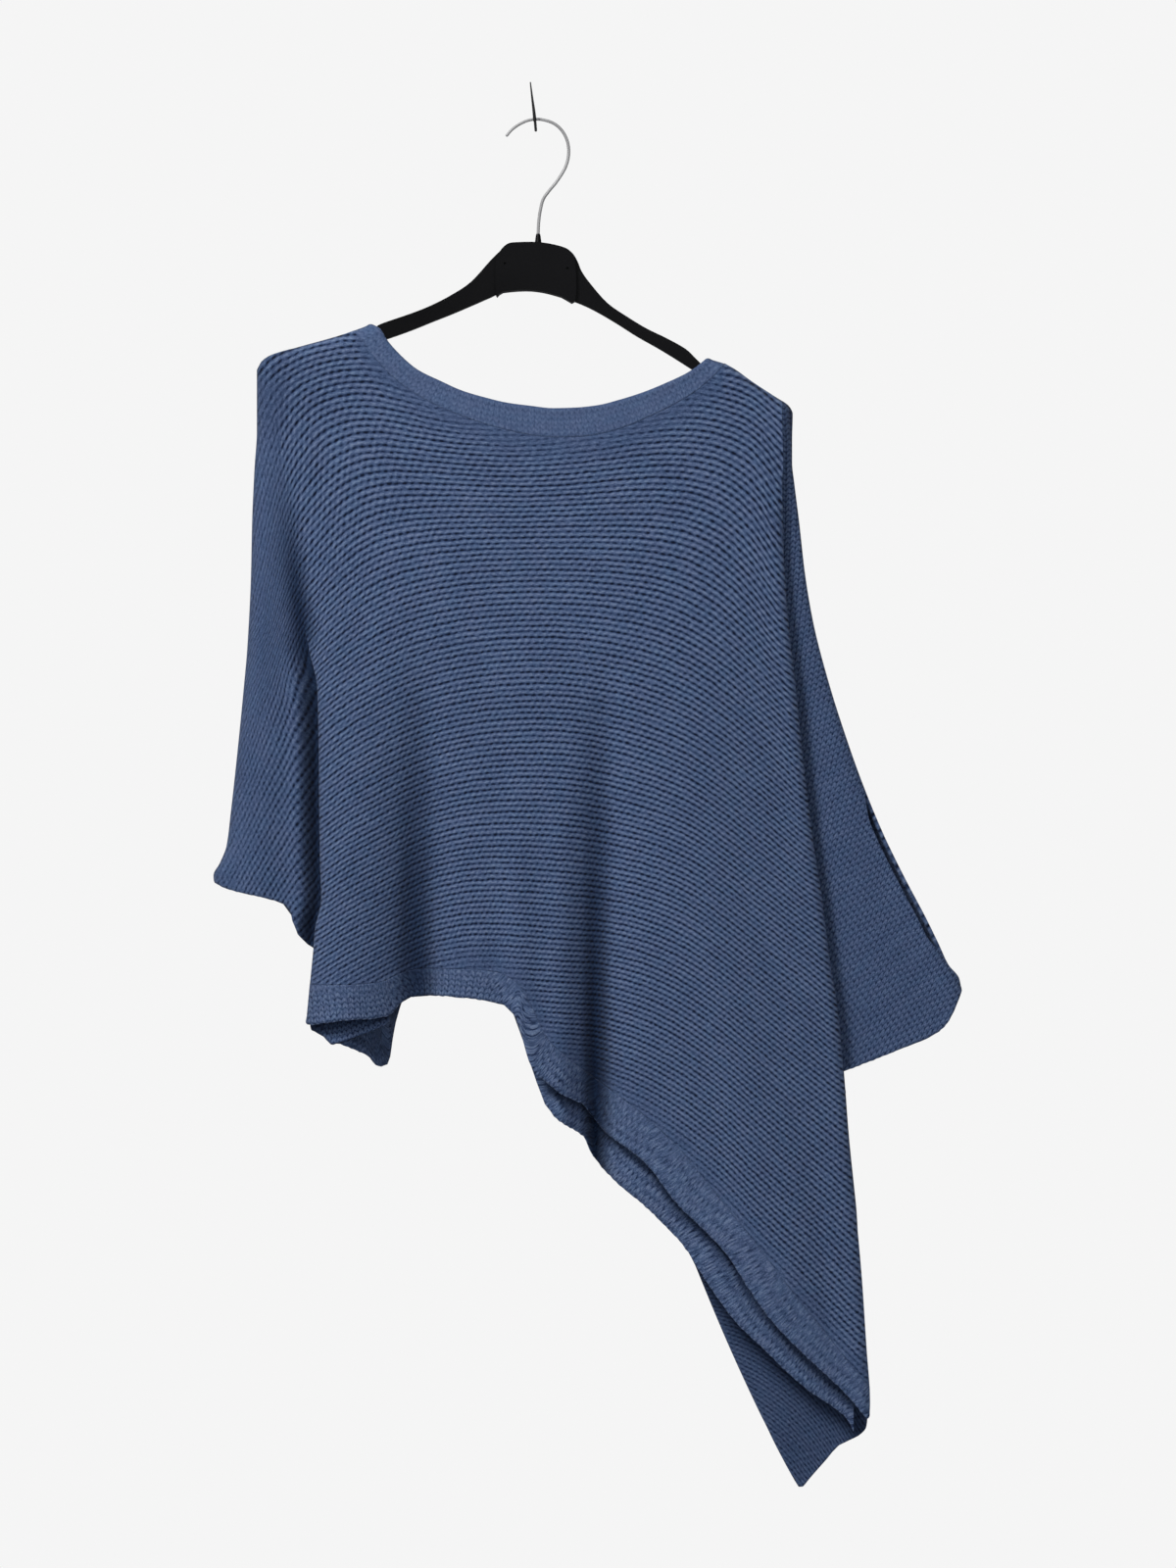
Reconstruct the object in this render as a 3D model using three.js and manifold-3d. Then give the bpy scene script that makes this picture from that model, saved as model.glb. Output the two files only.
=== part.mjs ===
// A wide knitted poncho sweater with an asymmetric hem, hanging flat on a shop
// hanger, with the hanger hung over an L-shaped wall hook.
//
// Millimetres. +Z is up, the front of the garment faces -Y, and +X is to the
// right as seen from the front. The origin is the wall end of the wall hook's
// shank, so the wall is the plane y = 0 and everything is in front of it.
//
// Every piece of cloth is a wall of even thickness. Its middle surface is
// worked out from an outline seen from the front and from "forward", the
// distance in front of the hanger's middle plane: a base table by height plus
// the folds listed in the fold tables.

import * as THREE from 'three';
import Module from 'manifold-3d';

// ------------------------------------------------------------ driving sizes
const WALL = 3.0;         // thickness of the knit
const SIDE_SEAM = 0.4;    // half the gap where a sleeve runs on from the body
const EDGE_SEAM = 0.75;   // half the gap between front and back along the shoulders
const BAND_SEAM = 0.9;    // gap above a hem band
const NECK_SEAM = 2.3;    // gap under a neck band, whose stations differ from the body's
const HANGER_Y = -48;     // the hanger's middle plane
const TOP_ROUND = 10;     // how far the cloth takes to turn over a shoulder
const SIDE_ROUND = 12;    // the same at the outer edge of a sleeve
const LIP_ROUND = 9;      // the same at the two folded edges of the front
const UNDER_GAP = 12;     // front to the layer behind it, middle to middle
const ARM_THICK = 7;      // hanger arm, front to back
const BLOCK_THICK = 14;   // the hanger's middle block
const HOOK_R = 1.35;      // wire of the hanger's hook
const PIN_R = 1.2;        // wire of the wall hook
const COLLAR_R = 2.7;     // collar where the hook enters the hanger

const COLOURS = {
  knit: 0x4f6590, plain: 0x526a96, inside: 0x435880,
  plastic: 0x151517, chrome: 0xc9ccd0, iron: 0x2b2b2d,
};

// --------------------------------------------------- outline, from the front
// x, z along the top edge of the cloth over each hanger arm
const SHOULDER_LEFT = [
  [-251, -214], [-233, -207], [-228, -199.5], [-220, -194.5], [-199.5, -188.5],
  [-165.5, -179], [-149, -173.5], [-134.5, -168], [-111.5, -160], [-78.5, -145],
];
const SHOULDER_RIGHT = [
  [85.5, -171.5], [118, -186], [142.5, -196.5], [151, -198.5], [161.5, -203.5],
  [182, -217.5], [201.5, -230.5], [211.5, -237], [217.5, -247], [233, -257],
];
// x, z along the neck edge, and along the lower edge of the neck band
const NECK_BAND = [
  // x edge, z edge, x lower, z lower
  [-135.5, -170.5, -150, -175.8], [-129.5, -174, -146, -182], [-124, -183, -138.5, -192.5],
  [-115.5, -193, -128.5, -205], [-98.5, -208, -110.5, -221.5], [-79.5, -217.5, -89.5, -234.5],
  [-60.5, -226, -67, -245], [-42, -231.5, -45, -253], [-23, -236, -24, -259],
  [-4, -238.5, -4, -263], [15, -240.5, 16.5, -265], [33.5, -240, 37.5, -264.5],
  [52.5, -238, 58, -261.5], [70.5, -233.5, 78, -255.5], [89.5, -227.5, 97, -247],
  [108, -220, 115.5, -238], [127, -211, 133.5, -227], [136, -205, 147.5, -215.5],
  [142.5, -199.5, 158.5, -204.2],
];
// z, x down the outer edge of each sleeve
const OUT_LEFT = [
  [-170, -233], [-209, -233.5], [-258, -233.5], [-290, -235.5], [-334.5, -237.5],
  [-380.5, -238.5], [-440, -241.5], [-474, -244.5], [-529.5, -250], [-579.5, -255.5],
  [-607, -259], [-622.5, -265], [-632, -270], [-638, -268.5],
];
const OUT_RIGHT = [
  [-210.5, 215], [-245, 216], [-267.5, 215.5], [-284.5, 215.5], [-303.5, 217.5],
  [-335.5, 221.5], [-379.5, 226.5], [-420.5, 233.5], [-469, 246], [-516.5, 261],
  [-557, 275.5], [-597, 292], [-632, 309], [-670, 329], [-689.5, 338.5],
  [-707.5, 347], [-719, 356], [-727.5, 357.5],
];
// z, x down the line where the left sleeve runs on from the back
const BACK_SIDE_LEFT = [[-170, -208], [-450, -197], [-700, -186], [-757, -191]];
// z, x down the folded edges where the front body lies over the sleeves
const FOLD_LEFT = [
  [-170, -205], [-227, -210], [-279, -212.5], [-312.5, -207.5], [-357.5, -201.5],
  [-391, -197], [-440, -190], [-474, -182], [-524, -180.5], [-575, -180],
  [-625, -179], [-649.5, -178], [-677.5, -183.5], [-695.5, -185], [-720, -187.5],
  [-757, -191],
];
const FOLD_RIGHT = [
  [-210.5, 206], [-243.5, 206.5], [-290.5, 207.5], [-335.5, 207.5], [-402.5, 210.5],
  [-440.5, 214], [-474, 218], [-524, 223], [-599.5, 232], [-649.5, 239.5],
  [-700.5, 246], [-750.5, 253.5], [-795.5, 257.5], [-844, 261], [-913.5, 268],
  [-968.5, 273], [-1027.5, 277], [-1062, 279.5], [-1090, 280],
];
// x, z along the open lower edge of each sleeve
const CUFF_LEFT = [
  [-270.5, -631.5], [-268, -637], [-261.5, -641], [-251, -644.5], [-229, -649.5],
  [-211.5, -654.5], [-205, -659.5], [-202.5, -669], [-197, -682], [-186, -692],
  [-173, -696], [-152.5, -698],
];
const CUFF_RIGHT = [
  [233, -804.5], [257.5, -796], [283.5, -786], [309, -775.5], [327, -768.5],
  [336, -763.5], [343.5, -757.5], [351, -744.5], [356.5, -730], [358.5, -724],
];
// x, z along the front hem, and x, z along the top of its band
const HEM_FRONT = [
  [-191, -756], [-173, -753.5], [-156, -751], [-138.5, -750.5], [-121.5, -748],
  [-115, -740.5], [-106.5, -734.5], [-94.5, -732.5], [-78, -732], [-60, -733],
  [-41, -735.5], [-26, -739], [-18, -746], [-13, -754.5], [-10.5, -766],
  [-7.5, -777.5], [0, -794.5], [10, -803], [21.5, -812.5], [33.5, -819],
  [42.5, -824], [48.5, -834], [58, -845.5], [75.5, -857.5], [86, -865],
  [97.5, -876.5], [110, -894], [122, -908.5], [135.5, -921], [150, -935.5],
  [160, -946.5], [176.5, -972.5], [188, -989.5], [201, -1006], [224.5, -1030],
  [243.5, -1048], [258.5, -1062.5], [270.5, -1076.5], [280, -1088],
];
const HEM_FRONT_BAND = [
  [-191, -722], [-160, -722], [-130, -720], [-113, -713], [-95, -709.5],
  [-60, -709], [-32, -711.5], [-14, -721], [-2, -742], [10, -766],
  [24, -781], [42, -796], [62, -809], [86, -827], [118, -856],
  [150, -895], [184, -937], [217, -981], [250, -1022], [274, -1053], [282, -1062],
];
// x, z along the back hem, and x, z along the top of its band
const HEM_BACK = [
  [-188, -727], [-181, -752], [-169.5, -770], [-159, -773.5], [-150, -777.5],
  [-139.5, -782.5], [-135.5, -788], [-130.5, -791.5], [-125.5, -791], [-122, -784.5],
  [-120, -768], [-116, -748], [-109, -731], [-87, -724], [-54, -725],
  [-29.5, -730.5], [-17, -748], [-9, -772.5], [0, -801], [9, -822.5],
  [19, -835], [33, -844.5], [42, -852], [48, -867], [69, -889],
  [91, -907], [110.5, -926], [121.5, -937.5], [129.5, -948.5], [135.5, -958.5],
  [156.5, -989.5], [169.5, -1006], [188, -1023.5], [213, -1048], [229.5, -1062],
  [248.5, -1075], [261, -1086], [266, -1095.5],
];
const HEM_BACK_BAND = [
  [-188, -712], [-170, -730], [-148, -744], [-130, -752], [-118, -728],
  [-87, -700], [-40, -700], [-14, -722], [11, -789], [44, -818],
  [85, -854], [126, -904], [167, -957], [208, -1002], [241, -1038], [268, -1068],
];
// z, x down both edges of the side flap, whose tip is the garment's lowest point
const FLAP = [
  // z, x left, x right
  [-812, 254, 259.5], [-844, 226, 260], [-883, 184.5, 263.5], [-920, 145, 266.5],
  [-945, 129, 269], [-959, 134.5, 270], [-1008.5, 155, 274], [-1041.5, 169.5, 276.5],
  [-1081, 188, 278], [-1094, 194.5, 277], [-1101.5, 198, 270.5], [-1105.5, 200, 261],
  [-1109.5, 202, 254], [-1121, 208, 243.5], [-1136.5, 216.5, 229.5], [-1143, 220.5, 224],
];
// x, z along the lower edge of the side fold inside the left corner
const UNDER_LEFT_HEM = [
  [-189.5, -757.5], [-183, -762], [-175.5, -766], [-169, -772], [-158.5, -770],
  [-144.5, -765], [-135.5, -761], [-127, -756.5], [-120, -753],
];

// ------------------------------------------------------- depth, from the side
// z, forward of the hanger's middle plane, for each sheet's plain form
const FORWARD = [
  // z, front body, left sleeve, right sleeve, back body, sleeve backs
  [-165, 9.5, 9.5, 9.5, -9.5, -9.5], [-230, 12, 11, 9.5, -10, -9.5], [-300, 15, 14, 8, -11.5, -9.5],
  [-340, 17, 15.5, 4.5, -12.5, -9.5], [-450, 22, 17, 4.5, -14, -10], [-600, 26, 17, 7, -17, -11],
  [-700, 28, 17, 9, -18, -12], [-800, 28, 17, 10, -18, -12], [-1150, 27, 17, 10, -14, -12],
];
// z, how far each folded edge of the front body turns back, how far the soft
// hollow beside it sinks, how far the sleeve sinks there, and how far the
// sleeve runs in behind it
const EDGE_LEFT = [
  // z, lip, hollow, sleeve sinks, sleeve runs in
  [-170, 0, 0, 0, 0], [-279, 0, 0, 0, 0], [-312, 0, 3, 0, 0], [-357, 0, 6, 0, 0],
  [-391, 0, 8, 0, 0], [-425, 0, 9, 1, -0.2], [-445, 3, 7, 6, -2.2], [-465, 9, 3, 11, -2.2],
  [-490, 12, 0, 14, 2], [-530, 12, 0, 16, 10], [-650, 12, 0, 18, 13],
  [-690, 13, 0, 18, 13], [-720, 16, 0, 18, 13], [-757, 17, 0, 18, 13],
];
const EDGE_RIGHT = [
  [-205, 0, 0, 0, 0], [-270, 0, 0, 0, 0], [-290, 0, 1.5, 0, 0], [-305, 3, 1, 2, -2.2],
  [-320, 6, 0, 2, -2.2], [-345, 8, 0, 1, 0], [-400, 9, 0, 1, 6], [-525, 11, 0, 2, 14],
  [-690, 12, 0, 2, 14], [-750, 12, 0, 2, 6], [-795, 12, 0, 2, 3], [-1090, 13, 0, 2, 3],
];
// Folds: a soft ridge (+) or trough (-) along a line. Its place and height are
// given at three heights, and its half width across.
const FRONT_FOLDS = [
  // z top, x, rise | z middle, x, rise | z bottom, x, rise | half width
  [-270, -5, 0, -470, 0, 3, -640, 5, 0, 150],          // the chest's own roundness
  [-340, -135, 0, -560, -150, 9, -760, -158, 14, 31],  // ridge to the left corner
  [-430, -92, 0, -600, -100, -12, -750, -98, -23, 21],   // trough left of the middle
  [-520, -50, 0, -640, -48, 2, -745, -52, 4, 30],      // flat between trough and crest
  [-520, -12, 0, -620, -14, 5, -790, -10, 10, 15],      // crest at the middle
  [-540, 18, 0, -680, 18, 5, -830, 18, 9, 18],         // roll beside the deep trough
  [-440, 56, 0, -620, 52, -13, -860, 52, -25, 17],      // deep trough
  [-300, 110, 0, -640, 140, 8, -960, 190, 12, 66],     // broad right-hand swell
  [-330, -170, 0, -450, -172, 3, -620, -166, 2, 16],   // the lip of the left fold
];
const BACK_FOLDS = [
  [-280, 0, 0, -480, 0, -4, -700, 10, -2, 150],
  [-330, -140, 0, -560, -132, -6, -740, -128, -9, 30],
  [-400, -70, 0, -600, -66, 5, -730, -62, 9, 24],
  [-430, 10, 0, -610, 18, -6, -800, 30, -9, 30],
  [-470, 84, 0, -640, 96, 6, -900, 120, 8, 26],
  [-330, 150, 0, -620, 168, -5, -1000, 215, -5, 34],
];
const SLEEVE_LEFT_FOLDS = [
  [-300, -222, 0, -480, -222, 2.5, -640, -232, 3.5, 16],
];
const SLEEVE_RIGHT_FOLDS = [
  [-420, 236, 0, -600, 262, 2, -780, 300, 2.5, 20],
];

// ------------------------------------------------------------- small helpers
// A smooth curve through a table's rows that never swings past them.
function through(rows, key = 0, value = 1) {
  const p = rows.map((r) => [r[key], r[value]]).sort((a, b) => a[0] - b[0]);
  const n = p.length;
  const slope = (i) => (p[i + 1][1] - p[i][1]) / (p[i + 1][0] - p[i][0]);
  const m = p.map((_, i) => {
    if (i === 0) return slope(0);
    if (i === n - 1) return slope(n - 2);
    const a = slope(i - 1), b = slope(i);
    return a * b <= 0 ? 0 : (2 * a * b) / (a + b);
  });
  return (q) => {
    if (q <= p[0][0]) return p[0][1];
    if (q >= p[n - 1][0]) return p[n - 1][1];
    let i = 0;
    while (q > p[i + 1][0]) i += 1;
    const h = p[i + 1][0] - p[i][0], t = (q - p[i][0]) / h;
    return (2 * t ** 3 - 3 * t ** 2 + 1) * p[i][1] + (t ** 3 - 2 * t ** 2 + t) * h * m[i]
      + (3 * t ** 2 - 2 * t ** 3) * p[i + 1][1] + (t ** 3 - t ** 2) * h * m[i + 1];
  };
}
const clamp01 = (t) => Math.min(1, Math.max(0, t));
const smooth = (t) => { const c = clamp01(t); return c * c * (3 - 2 * c); };
const mix = (a, b, t) => a + (b - a) * t;
// 0 at an edge, 1 from a distance of 1, with the shape of a quarter circle
const turn = (t) => Math.sign(t) * Math.sqrt(1 - (1 - clamp01(Math.abs(t))) ** 2);
// A line kept clear of another by a gap measured square to it.
const above = (line, gap) => (x) => line(x) + gap * Math.hypot(1, line(x + 0.5) - line(x - 0.5));

const shoulderLeft = through(SHOULDER_LEFT), shoulderRight = through(SHOULDER_RIGHT);
const bandLower = through(NECK_BAND, 2, 3);
const outLeft = through(OUT_LEFT), outRight = through(OUT_RIGHT);
const foldLeft = through(FOLD_LEFT), foldRight = through(FOLD_RIGHT);
const backSideLeft = through(BACK_SIDE_LEFT);
const cuffLeft = through(CUFF_LEFT), cuffRight = through(CUFF_RIGHT);
const hemFront = through(HEM_FRONT), hemFrontBand = through(HEM_FRONT_BAND);
const hemBack = through(HEM_BACK), hemBackBand = through(HEM_BACK_BAND);
const underLeftHem = through(UNDER_LEFT_HEM);
const flapLeft = through(FLAP, 0, 1), flapRight = through(FLAP, 0, 2);
const forwardOf = [1, 2, 3, 4, 5].map((c) => through(FORWARD, 0, c));
const edgeLeft = [1, 2, 3, 4].map((c) => through(EDGE_LEFT, 0, c));
const edgeRight = [1, 2, 3, 4].map((c) => through(EDGE_RIGHT, 0, c));

const foldRows = (table) => table.map(([zt, xt, ht, zm, xm, hm, zb, xb, hb, width]) => ({
  x: through([[zt, xt], [zm, xm], [zb, xb]]), rise: through([[zt, ht], [zm, hm], [zb, hb]]), width,
}));
const FOLDS = {
  front: foldRows(FRONT_FOLDS), back: foldRows(BACK_FOLDS),
  left: foldRows(SLEEVE_LEFT_FOLDS), right: foldRows(SLEEVE_RIGHT_FOLDS),
};
const folds = (rows, x, z) => rows.reduce(
  (sum, f) => sum + f.rise(z) * Math.exp(-(((x - f.x(z)) / f.width) ** 2)), 0);

// Top edge of the cloth above any x; over the neck it carries on up to where
// the arms meet, so that the cloth below the neck isn't pulled in.
function shoulder(x) {
  if (x < 0) return x < -78.5 ? shoulderLeft(x) : -145 + (x + 78.5) * 0.6;
  return x > 85.5 ? shoulderRight(x) : -171.5 + (85.5 - x) * 0.6;
}
const overShoulder = (x, z) => turn((shoulder(x) - WALL / 2 - z) / TOP_ROUND);
// A sleeve's depth: turned over at the top and at its outer edge, with the
// front and back kept a wall apart at the corner where the two meet.
function turned(plain, x, z, outward) {
  const top = overShoulder(x, z), side = turn((outward - WALL / 2) / SIDE_ROUND);
  return plain * top * side + Math.sign(plain) * (EDGE_SEAM + (WALL / 2) * Math.max(0, 1 - top) * Math.max(0, 1 - side));
}

// --------------------------------------------- forward distance of each sheet
function frontForward(x, z) {
  const [lipL, hollowL] = [edgeLeft[0](z), edgeLeft[1](z)];
  const [lipR, hollowR] = [edgeRight[0](z), edgeRight[1](z)];
  const dl = x - foldLeft(z), dr = foldRight(z) - x;
  const plain = forwardOf[0](z) + folds(FOLDS.front, x, z);
  return EDGE_SEAM + plain * overShoulder(x, z)
    - hollowL * Math.exp(-((dl / 14) ** 2)) - hollowR * Math.exp(-((dr / 9) ** 2))
    - lipL * (1 - turn(dl / LIP_ROUND)) - lipR * (1 - turn(dr / LIP_ROUND));
}
function leftSleeveForward(x, z) {
  const near = x - foldLeft(z);
  const plain = mix(forwardOf[0](z), forwardOf[1](z), smooth(-near / 30)) + folds(FOLDS.left, x, z)
    + folds(FOLDS.front, x, z) * smooth(1 + near / 40);
  return turned(plain, x, z, x - outLeft(z)) - edgeLeft[1](z) * Math.exp(-((near / 14) ** 2))
    - edgeLeft[2](z) * smooth((near + 20) / 18) * (1 + 0.35 * smooth((-440 - z) / 60));
}
function rightSleeveForward(x, z) {
  const near = foldRight(z) - x;
  const plain = mix(forwardOf[2](z), forwardOf[0](z), smooth((-285 - z) / -30) * smooth(1 + near / 6))
    + folds(FOLDS.right, x, z) - edgeRight[1](z) * Math.exp(-((near / 9) ** 2))
    - edgeRight[2](z) * smooth((near + 12) / 12);
  return turned(plain, x, z, outRight(z) - x);
}
// The back hangs by itself higher up, and lies close behind the front at both
// lower corners.
function backForward(x, z) {
  const own = (forwardOf[3](z) + folds(FOLDS.back, x, z)) * overShoulder(x, z) - EDGE_SEAM;
  const right = smooth((-690 - z) / 150) * smooth((x + 40) / 60);
  const left = smooth((-650 - z) / 90) * smooth((-85 - x) / 40);
  return mix(mix(own, frontForward(x, z) - UNDER_GAP, right), frontForward(x, z) - 2 * UNDER_GAP, left);
}
// The sleeves run on from the back with no crease.
const sleeveBack = (inward, outward) => (x, z) => {
  const own = mix(forwardOf[3](z) + folds(FOLDS.back, x, z), forwardOf[4](z), smooth(inward(x, z) / 34));
  return turned(own, x, z, outward(x, z));
};
const leftSleeveBackForward = sleeveBack((x, z) => backSideLeft(z) - x, (x, z) => x - outLeft(z));
const rightSleeveBackForward = sleeveBack((x, z) => x - foldRight(z), (x, z) => outRight(z) - x);
const underLeftForward = (x, z) => frontForward(Math.max(x, foldLeft(z) + 1), z) - UNDER_GAP;
const flapForward = (x, z) => backForward(Math.min(x, foldRight(z)), Math.max(z, -1110)) - UNDER_GAP;

// --------------------------------------------------------- making the sheets
const TURN_STEPS = [0, 0.134, 0.5, 1];  // quarter circle, in equal angles

// Stations between two ends, closer together where an end turns over.
function stations(middle, turnStart = 0, turnEnd = 0, at = null) {
  const list = [];
  if (turnStart) TURN_STEPS.slice(0, -1).forEach((t) => list.push((a, b) => a + Math.sign(b - a) * t * turnStart));
  const shares = at || Array.from({ length: middle + 1 }, (_, i) => i / middle);
  shares.forEach((t) => list.push((a, b) => {
    const s = Math.sign(b - a);
    return mix(a + s * turnStart, b - s * turnEnd, t);
  }));
  if (turnEnd) TURN_STEPS.slice(0, -1).reverse().forEach((t) => list.push((a, b) => b - Math.sign(b - a) * t * turnEnd));
  return list;
}

// The height where a column that leans with the sides meets a top or bottom line.
function meet(column, left, right, line) {
  let high = -100, low = -1200;
  for (let i = 0; i < 40; i += 1) {
    const z = (high + low) / 2;
    if (z > line(column(left(z), right(z)))) high = z; else low = z;
  }
  return (high + low) / 2;
}

// Points of a sheet's middle surface, in rows from the top down.
function gridOf({ left, right, top, bottom, forward, columns, rows }) {
  return columns.map((column) => {
    const zTop = meet(column, left, right, top), zBottom = meet(column, left, right, bottom);
    return rows.map((row) => {
      const z = row(zTop, zBottom), x = column(left(z), right(z));
      return onSheet(forward, x, z);
    });
  });
}

// A point of a sheet's middle surface, with the sheet's outward direction
// there, so that two pieces of one sheet meet squarely at their seam.
const STEP = 0.01;
function onSheet(forward, x, z) {
  const point = new THREE.Vector3(x, HANGER_Y - forward(x, z), z);
  point.out = new THREE.Vector3(
    -(forward(x + STEP, z) - forward(x - STEP, z)) / (2 * STEP), -1,
    -(forward(x, z + STEP) - forward(x, z - STEP)) / (2 * STEP)).normalize();
  return point;
}

// A closed wall of cloth around a grid of points: the grid moved out by half
// the thickness each way along the sheet's own direction, joined along the rim.
function wallAround(grid, thickness = WALL) {
  const nu = grid.length, nv = grid[0].length, points = [], faces = [];
  for (const side of [1, -1]) {
    grid.flat().forEach((p) => points.push(p.clone().addScaledVector(p.out, (side * thickness) / 2)));
  }
  const id = (i, j, back) => back * nu * nv + i * nv + j;
  const quad = (a, b, c, d) => { faces.push([a, b, c], [a, c, d]); };
  for (let i = 0; i < nu - 1; i += 1) {
    for (let j = 0; j < nv - 1; j += 1) {
      quad(id(i, j, 0), id(i, j + 1, 0), id(i + 1, j + 1, 0), id(i + 1, j, 0));
      quad(id(i, j, 1), id(i + 1, j, 1), id(i + 1, j + 1, 1), id(i, j + 1, 1));
    }
  }
  const rim = [];
  for (let j = 0; j < nv; j += 1) rim.push([0, j]);
  for (let i = 1; i < nu; i += 1) rim.push([i, nv - 1]);
  for (let j = nv - 2; j >= 0; j -= 1) rim.push([nu - 1, j]);
  for (let i = nu - 2; i >= 1; i -= 1) rim.push([i, 0]);
  rim.forEach(([i, j], k) => {
    const [m, n] = rim[(k + 1) % rim.length];
    quad(id(i, j, 0), id(i, j, 1), id(m, n, 1), id(m, n, 0));
  });
  return closed(points, faces);
}

// An indexed geometry, turned outward if it came out inside out.
function closed(points, faces) {
  let volume = 0;
  for (const [a, b, c] of faces) volume += points[a].dot(points[b].clone().cross(points[c]));
  const index = faces.flatMap(([a, b, c]) => (volume > 0 ? [a, b, c] : [a, c, b]));
  const geometry = new THREE.BufferGeometry();
  geometry.setAttribute('position', new THREE.Float32BufferAttribute(points.flatMap((p) => [p.x, p.y, p.z]), 3));
  geometry.setIndex(index);
  geometry.computeVertexNormals();
  return geometry;
}

const garment = new THREE.Group();
const hanger = new THREE.Group();
function add(group, name, geometry, color, roughness, metalness = 0) {
  const mesh = new THREE.Mesh(geometry, new THREE.MeshStandardMaterial({ color, roughness, metalness }));
  mesh.name = name;
  group.add(mesh);
  return mesh;
}
const cloth = (name, spec, color = COLOURS.knit) => add(garment, name, wallAround(gridOf(spec)), color, 0.95);

// Shares of the way across at which a hem turns, so that the body and its hem
// band have the same columns. x of each turn:
const FRONT_TURNS = [-158, -132, -122, -115, -106.5, -94.5, -68, -41, -26, -18, -10.5, -5, 10, 30, 42.5, 49,
  75.5, 97.5, 122, 150, 176.5, 201, 224.5, 250];
const BACK_TURNS = [-181, -169.5, -150, -139.5, -130.5, -122, -119, -109, -87, -54, -29.5, -17, -9, 0,
  19, 42, 49, 69, 91, 121.5, 135.5, 156.5, 188, 213, 248.5];
const sharesOf = (turns, line, left, right, inset = 0) => [0, ...turns.map((x) => {
  const z = line(x);
  return (x - left(z) - inset) / (right(z) - left(z) - 2 * inset);
}), 1];

// ------------------------------------------------------------------ the front
const half = WALL / 2;
const bodyTop = (x) => {
  if (x < -150) return shoulder(x) - half - 1.5 * smooth((x + 164) / 14);
  if (x > 158.5) return shoulder(x) - half - 1.5 * smooth((172 - x) / 14);
  return above(bandLower, -NECK_SEAM)(x);
};
// a fold's rounded edge reaches half a wall past the middle of the cloth
const frontLeft = (z) => foldLeft(z) + mix(SIDE_SEAM, half, clamp01(edgeLeft[0](z) / 1.5));
const frontRight = (z) => foldRight(z) - mix(SIDE_SEAM, half, clamp01(edgeRight[0](z) / 1.5));
const frontColumns = stations(0, LIP_ROUND, LIP_ROUND, sharesOf(FRONT_TURNS, hemFront, frontLeft, frontRight, LIP_ROUND));
cloth('front_body', {
  left: frontLeft, right: frontRight, top: bodyTop, bottom: above(hemFrontBand, BAND_SEAM),
  forward: frontForward, columns: frontColumns, rows: stations(16, TOP_ROUND, 0),
});
cloth('front_hem_band', {
  left: frontLeft, right: frontRight, top: hemFrontBand, bottom: hemFront,
  forward: frontForward, columns: frontColumns, rows: stations(2),
}, COLOURS.plain);

const neckGrid = (forward) => NECK_BAND.map(([xe, ze, xl, zl]) => [0, 0.5, 1].map((t) => {
  return onSheet(forward, mix(xe, xl, t), mix(ze, zl, t));
}));
add(garment, 'front_neck_band', wallAround(neckGrid(frontForward)), COLOURS.plain, 0.95);

cloth('left_sleeve_front', {
  left: (z) => outLeft(z) + half, right: (z) => foldLeft(z) - SIDE_SEAM + edgeLeft[3](z),
  top: (x) => shoulder(x) - half, bottom: cuffLeft, forward: leftSleeveForward,
  columns: stations(8, SIDE_ROUND, 0), rows: stations(13, TOP_ROUND, 0),
});
cloth('right_sleeve_front', {
  left: (z) => foldRight(z) + SIDE_SEAM - edgeRight[3](z),
  // the sleeve's back shows past this edge lower down
  right: (z) => outRight(z) - half - 10 * smooth((-540 - z) / 40) * smooth((z + 712) / 24),
  top: (x) => shoulder(x) - half, bottom: cuffRight, forward: rightSleeveForward,
  columns: stations(8, 0, 5), rows: stations(13, TOP_ROUND, 0),
}, COLOURS.inside);
cloth('left_side_fold', {
  left: (z) => foldLeft(z) + 4, right: (z) => mix(-172, -121.5, smooth((-652 - z) / 70)),
  top: () => -652, bottom: underLeftHem, forward: underLeftForward,
  columns: stations(8), rows: stations(6),
}, COLOURS.inside);

// ------------------------------------------------------------------- the back
const backLeft = (z) => backSideLeft(z) + SIDE_SEAM + 3 * smooth((-690 - z) / 20);
const backRight = (z) => foldRight(z) - mix(SIDE_SEAM, 14, smooth((-900 - z) / 190));
const backColumns = stations(0, 0, 0, sharesOf(BACK_TURNS, hemBack, backLeft, backRight));
cloth('back_body', {
  left: backLeft, right: backRight, top: bodyTop, bottom: above(hemBackBand, BAND_SEAM),
  forward: backForward, columns: backColumns, rows: stations(13, TOP_ROUND, 0),
});
cloth('back_hem_band', {
  left: backLeft, right: backRight, top: hemBackBand, bottom: hemBack,
  forward: backForward, columns: backColumns, rows: stations(2),
}, COLOURS.plain);
add(garment, 'back_neck_band', wallAround(neckGrid(backForward)), COLOURS.plain, 0.95);
cloth('left_sleeve_back', {
  left: (z) => outLeft(z) + half, right: (z) => backSideLeft(z) - SIDE_SEAM,
  top: (x) => shoulder(x) - half, bottom: (x) => cuffLeft(x) - 1, forward: leftSleeveBackForward,
  columns: stations(6, SIDE_ROUND, 0), rows: stations(11, TOP_ROUND, 0),
});
cloth('right_sleeve_back', {
  left: (z) => foldRight(z) + SIDE_SEAM, right: (z) => outRight(z) - half,
  top: (x) => shoulder(x) - half, bottom: (x) => cuffRight(x) + 1, forward: rightSleeveBackForward,
  columns: stations(6, 0, 5), rows: stations(11, TOP_ROUND, 0),
});
const FLAP_ROWS = 12, FLAP_COLUMNS = 8;
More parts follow.
